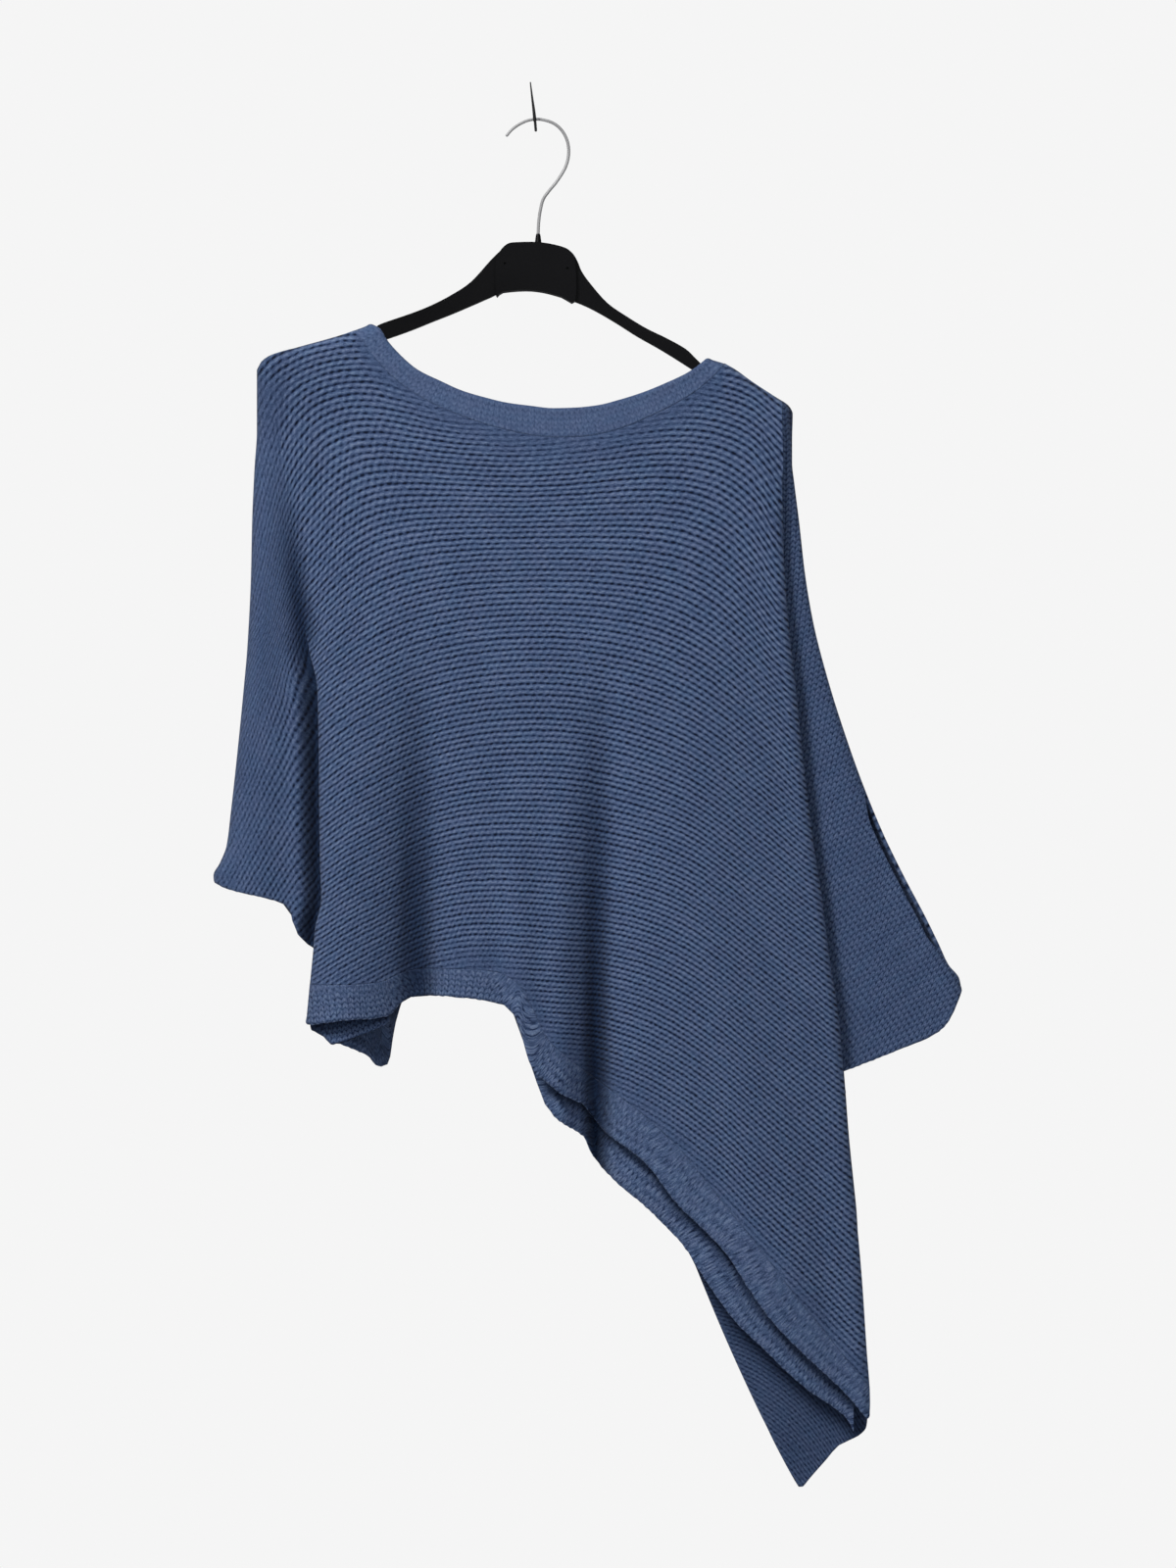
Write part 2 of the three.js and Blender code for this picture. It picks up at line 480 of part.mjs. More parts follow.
add(garment, 'right_side_flap', wallAround(Array.from({ length: FLAP_COLUMNS + 1 }, (_, i) => (
  Array.from({ length: FLAP_ROWS + 1 }, (_, j) => {
    const z = mix(FLAP[0][0], FLAP[FLAP.length - 1][0], j / FLAP_ROWS);
    return onSheet(flapForward, mix(flapLeft(z), flapRight(z), i / FLAP_COLUMNS), z);
  })))), COLOURS.inside, 0.95);

// ----------------------------------------------------------------- the hanger
const HANGER_OUTLINE = [
  // x, z clockwise from the left tip, over the top and back along the underside
  [-224.5, -209], [-217, -202], [-199, -195.5], [-165, -185.5], [-140, -175.5],
  [-134, -172.5],
  [-129, -169], [-103, -160], [-87, -153.5], [-70.5, -145], [-54, -134],
  [-38, -116.5], [-30, -108.5], [-23.5, -102.5], [-15.5, -101], [4, -101],
  [22, -104.5], [30.5, -109], [35.5, -116.5], [39, -125], [46, -135],
  [60.5, -151.5], [77, -163], [93.5, -173], [110, -181], [126, -190],
  [135, -198.5], [143, -206], [152, -210], [161.5, -214], [182, -226],
  [200, -236.5], [207.5, -242.5], [209.5, -246.5], [208.5, -250.5], [205, -252],
  [198, -249], [179.5, -237], [159, -224.5], [134.5, -209], [107.5, -192],
  [85.5, -179.5], [69, -169], [52, -159], [38.5, -152.5], [22, -146.5],
  [7, -142.5], [-8, -141], [-27, -142.5], [-38, -147], [-54, -154],
  [-70.5, -161], [-87, -167.5], [-103, -174], [-124, -181.5], [-165, -195],
  [-198.5, -205], [-214, -212.5], [-222.5, -215], [-226.5, -212],
];
const BLOCK_OUTLINE = [
  [-33, -116], [-29.5, -108.5], [-23.5, -102.5], [-15.5, -101], [4, -101],
  [22, -104.5], [30, -109], [33.5, -117], [33.5, -150], [22, -146.5],
  [7, -142.5], [-8, -141], [-27, -142.5], [-33, -145],
];
// A plate cut to an outline in the X-Z plane, with its front and back edges
// bevelled, about the hanger's middle plane.
function plate(outline, thickness, bevel) {
  const shape = new THREE.Shape(outline.map(([x, z]) => new THREE.Vector2(x, z)));
  const geometry = new THREE.ExtrudeGeometry(shape, {
    depth: thickness - 2 * bevel, steps: 1, bevelEnabled: true,
    bevelThickness: bevel, bevelSize: bevel, bevelOffset: -bevel, bevelSegments: 1,
  });
  geometry.translate(0, 0, -(thickness - 2 * bevel) / 2);
  geometry.rotateX(Math.PI / 2);
  geometry.translate(0, HANGER_Y, 0);
  return geometry;
}

const wasm = await Module();
wasm.setup();
// A geometry's triangles with shared corners merged, as a solid.
function solid(geometry) {
  const position = geometry.getAttribute('position'), index = geometry.getIndex();
  const count = index ? index.count : position.count;
  const seen = new Map(), vertices = [], triangles = [];
  for (let i = 0; i < count; i += 1) {
    const v = index ? index.getX(i) : i;
    const p = [position.getX(v), position.getY(v), position.getZ(v)];
    const key = p.map((c) => Math.round(c * 1e4)).join();
    if (!seen.has(key)) { seen.set(key, vertices.length / 3); vertices.push(...p); }
    triangles.push(seen.get(key));
  }
  const kept = [];
  for (let i = 0; i < triangles.length; i += 3) {
    const [a, b, c] = triangles.slice(i, i + 3);
    if (a !== b && b !== c && c !== a) kept.push(a, b, c);
  }
  return new wasm.Manifold(new wasm.Mesh({
    numProp: 3, vertProperties: new Float32Array(vertices), triVerts: new Uint32Array(kept),
  }));
}
function toGeometry(manifold) {
  const mesh = manifold.getMesh();
  const geometry = new THREE.BufferGeometry();
  const positions = [];
  for (let i = 0; i < mesh.vertProperties.length; i += mesh.numProp) {
    positions.push(mesh.vertProperties[i], mesh.vertProperties[i + 1], mesh.vertProperties[i + 2]);
  }
  geometry.setAttribute('position', new THREE.Float32BufferAttribute(positions, 3));
  geometry.setIndex([...mesh.triVerts]);
  geometry.computeVertexNormals();
  return geometry;
}
add(hanger, 'hanger_body', toGeometry(
  solid(plate(HANGER_OUTLINE, ARM_THICK, 2)).add(solid(plate(BLOCK_OUTLINE, BLOCK_THICK, 1.2)))),
COLOURS.plastic, 0.35);

// A collar around the hook's wire, standing on the block.
const COLLAR = { x: 2.5, low: -100.6, high: -93.5 };
const collar = new THREE.LatheGeometry([
  [HOOK_R + 0.3, 0], [COLLAR_R, 0], [COLLAR_R, 5.6], [COLLAR_R - 0.7, COLLAR.high - COLLAR.low],
  [HOOK_R + 0.3, COLLAR.high - COLLAR.low], [HOOK_R + 0.3, 0],
].map(([r, h]) => new THREE.Vector2(r, h)), 14);
collar.rotateX(Math.PI / 2);
collar.translate(COLLAR.x, HANGER_Y, COLLAR.low);
add(hanger, 'hanger_collar', collar, COLOURS.plastic, 0.4);

// A round bar along a path of points, as an extrusion of its section.
function bar(path, radius, sides, steps) {
  const section = new THREE.Shape(Array.from({ length: sides }, (_, i) => {
    const a = (2 * Math.PI * i) / sides;
    return new THREE.Vector2(radius * Math.cos(a), radius * Math.sin(a));
  }));
  const curve = new THREE.CatmullRomCurve3(path.map((p) => new THREE.Vector3(...p)), false, 'centripetal');
  return new THREE.ExtrudeGeometry(section, { steps, bevelEnabled: false, extrudePath: curve });
}
// x, z of the hook's wire from its free end, over the crown, down to the collar
const HOOK_PATH = [
  [-24.5, -11.5], [-19.5, -5.8], [-13, -1.2], [-6.5, 1.7], [0, 2.9],
  [8, 2.1], [16.5, -1.2], [23, -7.4], [27.2, -16.4], [28, -27],
  [25.5, -37], [18.2, -49.2], [11.5, -57.4], [6.8, -64.2], [4.2, -74],
  [2.9, -84], [2.5, -93], [2.5, -100.3],
];
add(hanger, 'hanger_hook', bar(HOOK_PATH.map(([x, z]) => [x, HANGER_Y, z]), HOOK_R, 8, 36), COLOURS.chrome, 0.15, 1);

// The wall hook: a shank straight out of the wall, turned up at its end.
const PIN_PATH = [
  [0, 0, 0], [0, -20, 0], [0, -40, 0], [0, -50, 0], [-0.2, -53.2, 0.8],
  [-0.5, -54.8, 3.6], [-1.2, -55.4, 10], [-2.6, -56, 21], [-4, -56.4, 33],
];
add(hanger, 'wall_hook', bar(PIN_PATH, PIN_R, 8, 18), COLOURS.iron, 0.45, 0.6);

const part = new THREE.Group();
part.add(garment, hanger);
export default part;
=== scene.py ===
# A wide knitted poncho sweater on a black shop hanger, which hangs on an
# L-shaped wall hook. Sizes in the tables are millimetres in the part's frame:
# +Z up, the front faces -Y, +X to the right, the wall is the plane y = 0.
# Each knitted piece is a closed wall of cloth, worked out from the same
# outlines and fold tables as its solid, with the ridges of the knit in the
# mesh and the stitches in the material.
import math

import bmesh
import bpy
import numpy as np
from mathutils import Matrix, Vector


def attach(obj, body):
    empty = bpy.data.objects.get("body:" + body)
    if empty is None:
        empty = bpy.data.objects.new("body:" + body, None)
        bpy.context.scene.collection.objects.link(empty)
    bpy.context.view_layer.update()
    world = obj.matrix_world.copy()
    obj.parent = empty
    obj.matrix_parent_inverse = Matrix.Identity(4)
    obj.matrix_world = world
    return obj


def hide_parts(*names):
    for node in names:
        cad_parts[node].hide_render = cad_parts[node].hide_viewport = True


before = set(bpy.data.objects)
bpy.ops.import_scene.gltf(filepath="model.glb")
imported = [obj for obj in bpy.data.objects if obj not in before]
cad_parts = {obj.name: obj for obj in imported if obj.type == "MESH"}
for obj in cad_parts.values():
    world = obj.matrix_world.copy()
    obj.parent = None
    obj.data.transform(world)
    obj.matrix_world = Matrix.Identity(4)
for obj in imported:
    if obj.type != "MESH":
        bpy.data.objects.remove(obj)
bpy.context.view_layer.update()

MM = 0.001

# ------------------------------------------------------------ driving sizes
WALL = 3.0            # thickness of the knit
HANGER_Y = -48.0      # the hanger's middle plane
TOP_ROUND = 10.0      # how far the cloth takes to turn over a shoulder
SIDE_ROUND = 12.0     # the same at the outer edge of a sleeve
LIP_ROUND = 9.0       # the same at the two folded edges of the front
UNDER_GAP = 12.0      # front to the layer behind it, middle to middle
ROW_PITCH_TOP = 9.2   # from one strong line of the knit to the next, up high
ROW_PITCH_LOW = 8.2   # the same low down
STITCH_TOP = 6.0      # from one stitch to the next along a row, up high
STITCH_LOW = 4.7      # the same low down
FACE_WIDTH = 4.75     # smooth V side: width of a stitch
FACE_HEIGHT = 4.35    # smooth V side: height of a stitch
RIDGE_RISE = 0.32     # height of the ridges in the mesh

# --------------------------------------------------- outline, from the front
# --------------------------------------------------- outline, from the front
# x, z along the top edge of the cloth over each hanger arm
SHOULDER_LEFT = [
    [-251, -214], [-233, -207], [-228, -199.5], [-220, -194.5], [-199.5, -188.5],
    [-165.5, -179], [-149, -173.5], [-134.5, -168], [-111.5, -160], [-78.5, -145],
]
SHOULDER_RIGHT = [
    [85.5, -171.5], [118, -186], [142.5, -196.5], [151, -198.5], [161.5, -203.5],
    [182, -217.5], [201.5, -230.5], [211.5, -237], [217.5, -247], [233, -257],
]
# x, z along the neck edge, and along the lower edge of the neck band
NECK_BAND = [
  # x edge, z edge, x lower, z lower
    [-135.5, -170.5, -150, -175.8], [-129.5, -174, -146, -182], [-124, -183, -138.5, -192.5],
    [-115.5, -193, -128.5, -205], [-98.5, -208, -110.5, -221.5], [-79.5, -217.5, -89.5, -234.5],
    [-60.5, -226, -67, -245], [-42, -231.5, -45, -253], [-23, -236, -24, -259],
    [-4, -238.5, -4, -263], [15, -240.5, 16.5, -265], [33.5, -240, 37.5, -264.5],
    [52.5, -238, 58, -261.5], [70.5, -233.5, 78, -255.5], [89.5, -227.5, 97, -247],
    [108, -220, 115.5, -238], [127, -211, 133.5, -227], [136, -205, 147.5, -215.5],
    [142.5, -199.5, 158.5, -204.2],
]
# z, x down the outer edge of each sleeve
OUT_LEFT = [
    [-170, -233], [-209, -233.5], [-258, -233.5], [-290, -235.5], [-334.5, -237.5],
    [-380.5, -238.5], [-440, -241.5], [-474, -244.5], [-529.5, -250], [-579.5, -255.5],
    [-607, -259], [-622.5, -265], [-632, -270], [-638, -268.5],
]
OUT_RIGHT = [
    [-210.5, 215], [-245, 216], [-267.5, 215.5], [-284.5, 215.5], [-303.5, 217.5],
    [-335.5, 221.5], [-379.5, 226.5], [-420.5, 233.5], [-469, 246], [-516.5, 261],
    [-557, 275.5], [-597, 292], [-632, 309], [-670, 329], [-689.5, 338.5],
    [-707.5, 347], [-719, 356], [-727.5, 357.5],
]
# z, x down the line where the left sleeve runs on from the back
BACK_SIDE_LEFT = [[-170, -208], [-450, -197], [-700, -186], [-757, -191]]
# z, x down the folded edges where the front body lies over the sleeves
FOLD_LEFT = [
    [-170, -205], [-227, -210], [-279, -212.5], [-312.5, -207.5], [-357.5, -201.5],
    [-391, -197], [-440, -190], [-474, -182], [-524, -180.5], [-575, -180],
    [-625, -179], [-649.5, -178], [-677.5, -183.5], [-695.5, -185], [-720, -187.5],
    [-757, -191],
]
FOLD_RIGHT = [
    [-210.5, 206], [-243.5, 206.5], [-290.5, 207.5], [-335.5, 207.5], [-402.5, 210.5],
    [-440.5, 214], [-474, 218], [-524, 223], [-599.5, 232], [-649.5, 239.5],
    [-700.5, 246], [-750.5, 253.5], [-795.5, 257.5], [-844, 261], [-913.5, 268],
    [-968.5, 273], [-1027.5, 277], [-1062, 279.5], [-1090, 280],
]
# x, z along the open lower edge of each sleeve
CUFF_LEFT = [
    [-270.5, -631.5], [-268, -637], [-261.5, -641], [-251, -644.5], [-229, -649.5],
    [-211.5, -654.5], [-205, -659.5], [-202.5, -669], [-197, -682], [-186, -692],
    [-173, -696], [-152.5, -698],
]
CUFF_RIGHT = [
    [233, -804.5], [257.5, -796], [283.5, -786], [309, -775.5], [327, -768.5],
    [336, -763.5], [343.5, -757.5], [351, -744.5], [356.5, -730], [358.5, -724],
]
# x, z along the front hem, and x, z along the top of its band
HEM_FRONT = [
    [-191, -756], [-173, -753.5], [-156, -751], [-138.5, -750.5], [-121.5, -748],
    [-115, -740.5], [-106.5, -734.5], [-94.5, -732.5], [-78, -732], [-60, -733],
    [-41, -735.5], [-26, -739], [-18, -746], [-13, -754.5], [-10.5, -766],
    [-7.5, -777.5], [0, -794.5], [10, -803], [21.5, -812.5], [33.5, -819],
    [42.5, -824], [48.5, -834], [58, -845.5], [75.5, -857.5], [86, -865],
    [97.5, -876.5], [110, -894], [122, -908.5], [135.5, -921], [150, -935.5],
    [160, -946.5], [176.5, -972.5], [188, -989.5], [201, -1006], [224.5, -1030],
    [243.5, -1048], [258.5, -1062.5], [270.5, -1076.5], [280, -1088],
]
HEM_FRONT_BAND = [
    [-191, -722], [-160, -722], [-130, -720], [-113, -713], [-95, -709.5],
    [-60, -709], [-32, -711.5], [-14, -721], [-2, -742], [10, -766],
    [24, -781], [42, -796], [62, -809], [86, -827], [118, -856],
    [150, -895], [184, -937], [217, -981], [250, -1022], [274, -1053], [282, -1062],
]
# x, z along the back hem, and x, z along the top of its band
HEM_BACK = [
    [-188, -727], [-181, -752], [-169.5, -770], [-159, -773.5], [-150, -777.5],
    [-139.5, -782.5], [-135.5, -788], [-130.5, -791.5], [-125.5, -791], [-122, -784.5],
    [-120, -768], [-116, -748], [-109, -731], [-87, -724], [-54, -725],
    [-29.5, -730.5], [-17, -748], [-9, -772.5], [0, -801], [9, -822.5],
    [19, -835], [33, -844.5], [42, -852], [48, -867], [69, -889],
    [91, -907], [110.5, -926], [121.5, -937.5], [129.5, -948.5], [135.5, -958.5],
    [156.5, -989.5], [169.5, -1006], [188, -1023.5], [213, -1048], [229.5, -1062],
    [248.5, -1075], [261, -1086], [266, -1095.5],
]
HEM_BACK_BAND = [
    [-188, -712], [-170, -730], [-148, -744], [-130, -752], [-118, -728],
    [-87, -700], [-40, -700], [-14, -722], [11, -789], [44, -818],
    [85, -854], [126, -904], [167, -957], [208, -1002], [241, -1038], [268, -1068],
]
# z, x down both edges of the side flap, whose tip is the garment's lowest point
FLAP = [
  # z, x left, x right
    [-812, 254, 259.5], [-844, 226, 260], [-883, 184.5, 263.5], [-920, 145, 266.5],
    [-945, 129, 269], [-959, 134.5, 270], [-1008.5, 155, 274], [-1041.5, 169.5, 276.5],
    [-1081, 188, 278], [-1094, 194.5, 277], [-1101.5, 198, 270.5], [-1105.5, 200, 261],
    [-1109.5, 202, 254], [-1121, 208, 243.5], [-1136.5, 216.5, 229.5], [-1143, 220.5, 224],
]
# x, z along the lower edge of the side fold inside the left corner
UNDER_LEFT_HEM = [
    [-189.5, -757.5], [-183, -762], [-175.5, -766], [-169, -772], [-158.5, -770],
    [-144.5, -765], [-135.5, -761], [-127, -756.5], [-120, -753],
]
# ------------------------------------------------------- depth, from the side
# z, forward of the hanger's middle plane, for each sheet's plain form
FORWARD = [
  # z, front body, left sleeve, right sleeve, back body, sleeve backs
    [-165, 9.5, 9.5, 9.5, -9.5, -9.5], [-230, 12, 11, 9.5, -10, -9.5], [-300, 15, 14, 8, -11.5, -9.5],
    [-340, 17, 15.5, 4.5, -12.5, -9.5], [-450, 22, 17, 4.5, -14, -10], [-600, 26, 17, 7, -17, -11],
    [-700, 28, 17, 9, -18, -12], [-800, 28, 17, 10, -18, -12], [-1150, 27, 17, 10, -14, -12],
]
# z, how far each folded edge of the front body turns back, how far the soft
# hollow beside it sinks, how far the sleeve sinks there, and how far the
# sleeve runs in behind it
EDGE_LEFT = [
  # z, lip, hollow, sleeve sinks, sleeve runs in
    [-170, 0, 0, 0, 0], [-279, 0, 0, 0, 0], [-312, 0, 3, 0, 0], [-357, 0, 6, 0, 0],
    [-391, 0, 8, 0, 0], [-425, 0, 9, 1, -0.2], [-445, 3, 7, 6, -2.2], [-465, 9, 3, 11, -2.2],
    [-490, 12, 0, 14, 2], [-530, 12, 0, 16, 10], [-650, 12, 0, 18, 13],
    [-690, 13, 0, 18, 13], [-720, 16, 0, 18, 13], [-757, 17, 0, 18, 13],
]
EDGE_RIGHT = [
    [-205, 0, 0, 0, 0], [-270, 0, 0, 0, 0], [-290, 0, 1.5, 0, 0], [-305, 3, 1, 2, -2.2],
    [-320, 6, 0, 2, -2.2], [-345, 8, 0, 1, 0], [-400, 9, 0, 1, 6], [-525, 11, 0, 2, 14],
    [-690, 12, 0, 2, 14], [-750, 12, 0, 2, 6], [-795, 12, 0, 2, 3], [-1090, 13, 0, 2, 3],
]
# Folds: a soft ridge (+) or trough (-) along a line. Its place and height are
# given at three heights, and its half width across.
FRONT_FOLDS = [
  # z top, x, rise | z middle, x, rise | z bottom, x, rise | half width
    [-270, -5, 0, -470, 0, 3, -640, 5, 0, 150],          # the chest's own roundness
    [-340, -135, 0, -560, -150, 9, -760, -158, 14, 31],  # ridge to the left corner
    [-430, -92, 0, -600, -100, -12, -750, -98, -23, 21], # trough left of the middle
    [-520, -50, 0, -640, -48, 2, -745, -52, 4, 30],      # flat between trough and crest
    [-520, -12, 0, -620, -14, 5, -790, -10, 10, 15],     # crest at the middle
    [-540, 18, 0, -680, 18, 5, -830, 18, 9, 18],         # roll beside the deep trough
    [-440, 56, 0, -620, 52, -13, -860, 52, -25, 17],     # deep trough
    [-300, 110, 0, -640, 140, 8, -960, 190, 12, 66],     # broad right-hand swell
    [-330, -170, 0, -450, -172, 3, -620, -166, 2, 16],   # the lip of the left fold
]
BACK_FOLDS = [
    [-280, 0, 0, -480, 0, -4, -700, 10, -2, 150],
    [-330, -140, 0, -560, -132, -6, -740, -128, -9, 30],
    [-400, -70, 0, -600, -66, 5, -730, -62, 9, 24],
    [-430, 10, 0, -610, 18, -6, -800, 30, -9, 30],
    [-470, 84, 0, -640, 96, 6, -900, 120, 8, 26],
    [-330, 150, 0, -620, 168, -5, -1000, 215, -5, 34],
]
SLEEVE_LEFT_FOLDS = [
    [-300, -222, 0, -480, -222, 2.5, -640, -232, 3.5, 16],
]
SLEEVE_RIGHT_FOLDS = [
    [-420, 236, 0, -600, 262, 2, -780, 300, 2.5, 20],
]
# ----------------------------------------------------------------- the hanger
HANGER_OUTLINE = [
  # x, z clockwise from the left tip, over the top and back along the underside
    [-224.5, -209], [-217, -202], [-199, -195.5], [-165, -185.5], [-140, -175.5],
    [-134, -172.5],
    [-129, -169], [-103, -160], [-87, -153.5], [-70.5, -145], [-54, -134],
    [-38, -116.5], [-30, -108.5], [-23.5, -102.5], [-15.5, -101], [4, -101],
    [22, -104.5], [30.5, -109], [35.5, -116.5], [39, -125], [46, -135],
    [60.5, -151.5], [77, -163], [93.5, -173], [110, -181], [126, -190],
    [135, -198.5], [143, -206], [152, -210], [161.5, -214], [182, -226],
    [200, -236.5], [207.5, -242.5], [209.5, -246.5], [208.5, -250.5], [205, -252],
    [198, -249], [179.5, -237], [159, -224.5], [134.5, -209], [107.5, -192],
    [85.5, -179.5], [69, -169], [52, -159], [38.5, -152.5], [22, -146.5],
    [7, -142.5], [-8, -141], [-27, -142.5], [-38, -147], [-54, -154],
    [-70.5, -161], [-87, -167.5], [-103, -174], [-124, -181.5], [-165, -195],
    [-198.5, -205], [-214, -212.5], [-222.5, -215], [-226.5, -212],
]
BLOCK_OUTLINE = [
    [-33, -116], [-29.5, -108.5], [-23.5, -102.5], [-15.5, -101], [4, -101],
    [22, -104.5], [30, -109], [33.5, -117], [33.5, -150], [22, -146.5],
    [7, -142.5], [-8, -141], [-27, -142.5], [-33, -145],
]
# x, z of the hook's wire from its free end, over the crown, down to the collar
HOOK_PATH = [
    [-24.5, -11.5], [-19.5, -5.8], [-13, -1.2], [-6.5, 1.7], [0, 2.9],
    [8, 2.1], [16.5, -1.2], [23, -7.4], [27.2, -16.4], [28, -27],
    [25.5, -37], [18.2, -49.2], [11.5, -57.4], [6.8, -64.2], [4.2, -74],
    [2.9, -84], [2.5, -93], [2.5, -100.3],
]
# The wall hook: a shank straight out of the wall, turned up at its end.
PIN_PATH = [
    [0, 0, 0], [0, -20, 0], [0, -40, 0], [0, -50, 0], [-0.2, -53.2, 0.8],
    [-0.5, -54.8, 3.6], [-1.2, -55.4, 10], [-2.6, -56, 21], [-4, -56.4, 33],
]

# Fine creases that only the surface shows, in the same columns as the folds.
FRONT_CREASES = [
    # z top, x, rise | z middle, x, rise | z bottom, x, rise | half width
    [-560, -104, 0, -680, -108, -1.6, -760, -112, -1.2, 7],
    [-600, -76, 0, -690, -74, 1.2, -745, -72, 1.0, 8],
    [-560, 36, 0, -700, 35, -1.8, -830, 34, -1.4, 8],
    [-620, 66, 0, -740, 66, 1.6, -860, 70, 1.0, 9],
    [-420, 165, 0, -560, 172, -1.2, -740, 186, 0, 14],
    [-700, 120, 0, -850, 150, -1.2, -960, 182, -0.8, 14],
    [-760, 205, 0, -920, 232, -1.6, -1080, 252, -1.0, 12],
    [-600, 49, 0, -760, 49, -3.5, -880, 50, -6, 8],
    [-620, -93, 0, -710, -90, -2.5, -765, -89, -3.5, 11],
    [-240, -185, 0, -300, -180, -1.2, -380, -178, 0, 12],
    [-238, 165, 0, -300, 170, -1.0, -380, 176, 0, 12],
]

# How the rows of the knit run on the front, in degrees down to the right, at
# each height, for the x of each column.
ROW_X = [-250, -218, -185, -152, -120, -87, -38, 11, 44, 77, 110, 143, 175, 208, 241, 275]
ROW_SLOPES = [
    # z, then the slope at each x of ROW_X
    [-170, -60, -20, -16, -10, 20, 30, 0, 0, 0, -20, -25, 5, 30, 60, 80, 85],
    [-200, -75, -40, -16, 0, 25, 30, 0, -4, -12, -20, -25, 10, 28, 60, 82, 85],
    [-243, -84, -72, -34, -6, 12, 20, 8, -5, -12, -18, -13, 4, 20, 60, 85, 85],
    [-276, -85, -80, -49, -20, -2, 5, 1, -9, -12, -10, -1, 13, 34, 72, 86, 86],
    [-342, -86, -82, -55, -34, -16, -7, 0, 2, 4, 6, 11, 27, 51, 80, 86, 86],
    [-408, -84, -76, -51, -36, -22, -13, -4, 3, 8, 13, 21, 33, 50, 75, 84, 84],
    [-473, -78, -66, -51, -33, -26, -16, -6, 2, 10, 16, 22, 35, 46, 61, 74, 78],
    [-539, -70, -60, -52, -32, -28, -20, -7, 0, 9, 16, 21, 34, 43, 50, 66, 70],
    [-604, -64, -58, -50, -30, -30, -22, -3, 2, 7, 11, 18, 34, 40, 43, 56, 60],
    [-670, -60, -56, -46, -30, -30, -20, 2, 5, 3, 11, 20, 35, 40, 40, 50, 54],
    [-736, -58, -54, -40, -30, -26, -12, 4, 4, 2, 13, 23, 34, 40, 38, 44, 48],
    [-801, -58, -50, -36, -28, -22, -8, 5, 8, 12, 19, 26, 33, 41, 38, 40, 44],
    [-867, -55, -46, -34, -26, -18, -4, 10, 20, 28, 34, 36, 38, 46, 39, 40, 42],
    [-932, -50, -40, -30, -20, -10, 5, 20, 30, 38, 42, 44, 46, 49, 40, 43, 44],
    [-998, -50, -40, -30, -20, -5, 10, 28, 36, 42, 46, 48, 50, 52, 47, 44, 44],
    [-1080, -50, -40, -30, -20, 0, 15, 32, 40, 45, 48, 50, 52, 54, 50, 46, 46],
]


# ------------------------------------------------------------- small helpers
def through(rows, key=0, value=1):
    """A smooth curve through a table's rows that never swings past them."""
    p = sorted(((float(r[key]), float(r[value])) for r in rows), key=lambda q: q[0])
    xs, ys = np.array([q[0] for q in p]), np.array([q[1] for q in p])
    h = np.diff(xs)
    s = np.diff(ys) / h
    m = np.zeros(len(xs))
    m[0], m[-1] = s[0], s[-1]
    a, b = s[:-1], s[1:]
    m[1:-1] = np.where(a * b <= 0, 0, 2 * a * b / np.where(a + b == 0, 1, a + b))

    def f(q):
        q = np.clip(np.asarray(q, float), xs[0], xs[-1])
        i = np.clip(np.searchsorted(xs, q, side="right") - 1, 0, len(xs) - 2)
        t = (q - xs[i]) / h[i]
        return ((2 * t**3 - 3 * t**2 + 1) * ys[i] + (t**3 - 2 * t**2 + t) * h[i] * m[i]
                + (3 * t**2 - 2 * t**3) * ys[i + 1] + (t**3 - t**2) * h[i] * m[i + 1])
    return f


def clamp01(t):
    return np.clip(t, 0.0, 1.0)


def smooth(t):
    c = clamp01(t)
    return c * c * (3 - 2 * c)


def mix(a, b, t):
    return a + (b - a) * t


def turn(t):
    return np.sign(t) * np.sqrt(np.maximum(0, 1 - (1 - clamp01(np.abs(t))) ** 2))


shoulder_left, shoulder_right = through(SHOULDER_LEFT), through(SHOULDER_RIGHT)
band_lower = through(NECK_BAND, 2, 3)
out_left, out_right = through(OUT_LEFT), through(OUT_RIGHT)
fold_left, fold_right = through(FOLD_LEFT), through(FOLD_RIGHT)
back_side_left = through(BACK_SIDE_LEFT)
cuff_left, cuff_right = through(CUFF_LEFT), through(CUFF_RIGHT)
hem_front, hem_front_band = through(HEM_FRONT), through(HEM_FRONT_BAND)
hem_back, hem_back_band = through(HEM_BACK), through(HEM_BACK_BAND)
under_left_hem = through(UNDER_LEFT_HEM)
flap_left, flap_right = through(FLAP, 0, 1), through(FLAP, 0, 2)
forward_of = [through(FORWARD, 0, c) for c in range(1, 6)]
edge_left = [through(EDGE_LEFT, 0, c) for c in range(1, 5)]
edge_right = [through(EDGE_RIGHT, 0, c) for c in range(1, 5)]


def fold_rows(table):
    return [(through([[r[0], r[1]], [r[3], r[4]], [r[6], r[7]]]),
             through([[r[0], r[2]], [r[3], r[5]], [r[6], r[8]]]), float(r[9])) for r in table]


FOLDS = {"front": fold_rows(FRONT_FOLDS), "back": fold_rows(BACK_FOLDS),
         "left": fold_rows(SLEEVE_LEFT_FOLDS), "right": fold_rows(SLEEVE_RIGHT_FOLDS),
         "creases": fold_rows(FRONT_CREASES)}


def folds(rows, x, z):
    total = 0.0
    for at, rise, width in rows:
        total = total + rise(z) * np.exp(-(((x - at(z)) / width) ** 2))
    return total


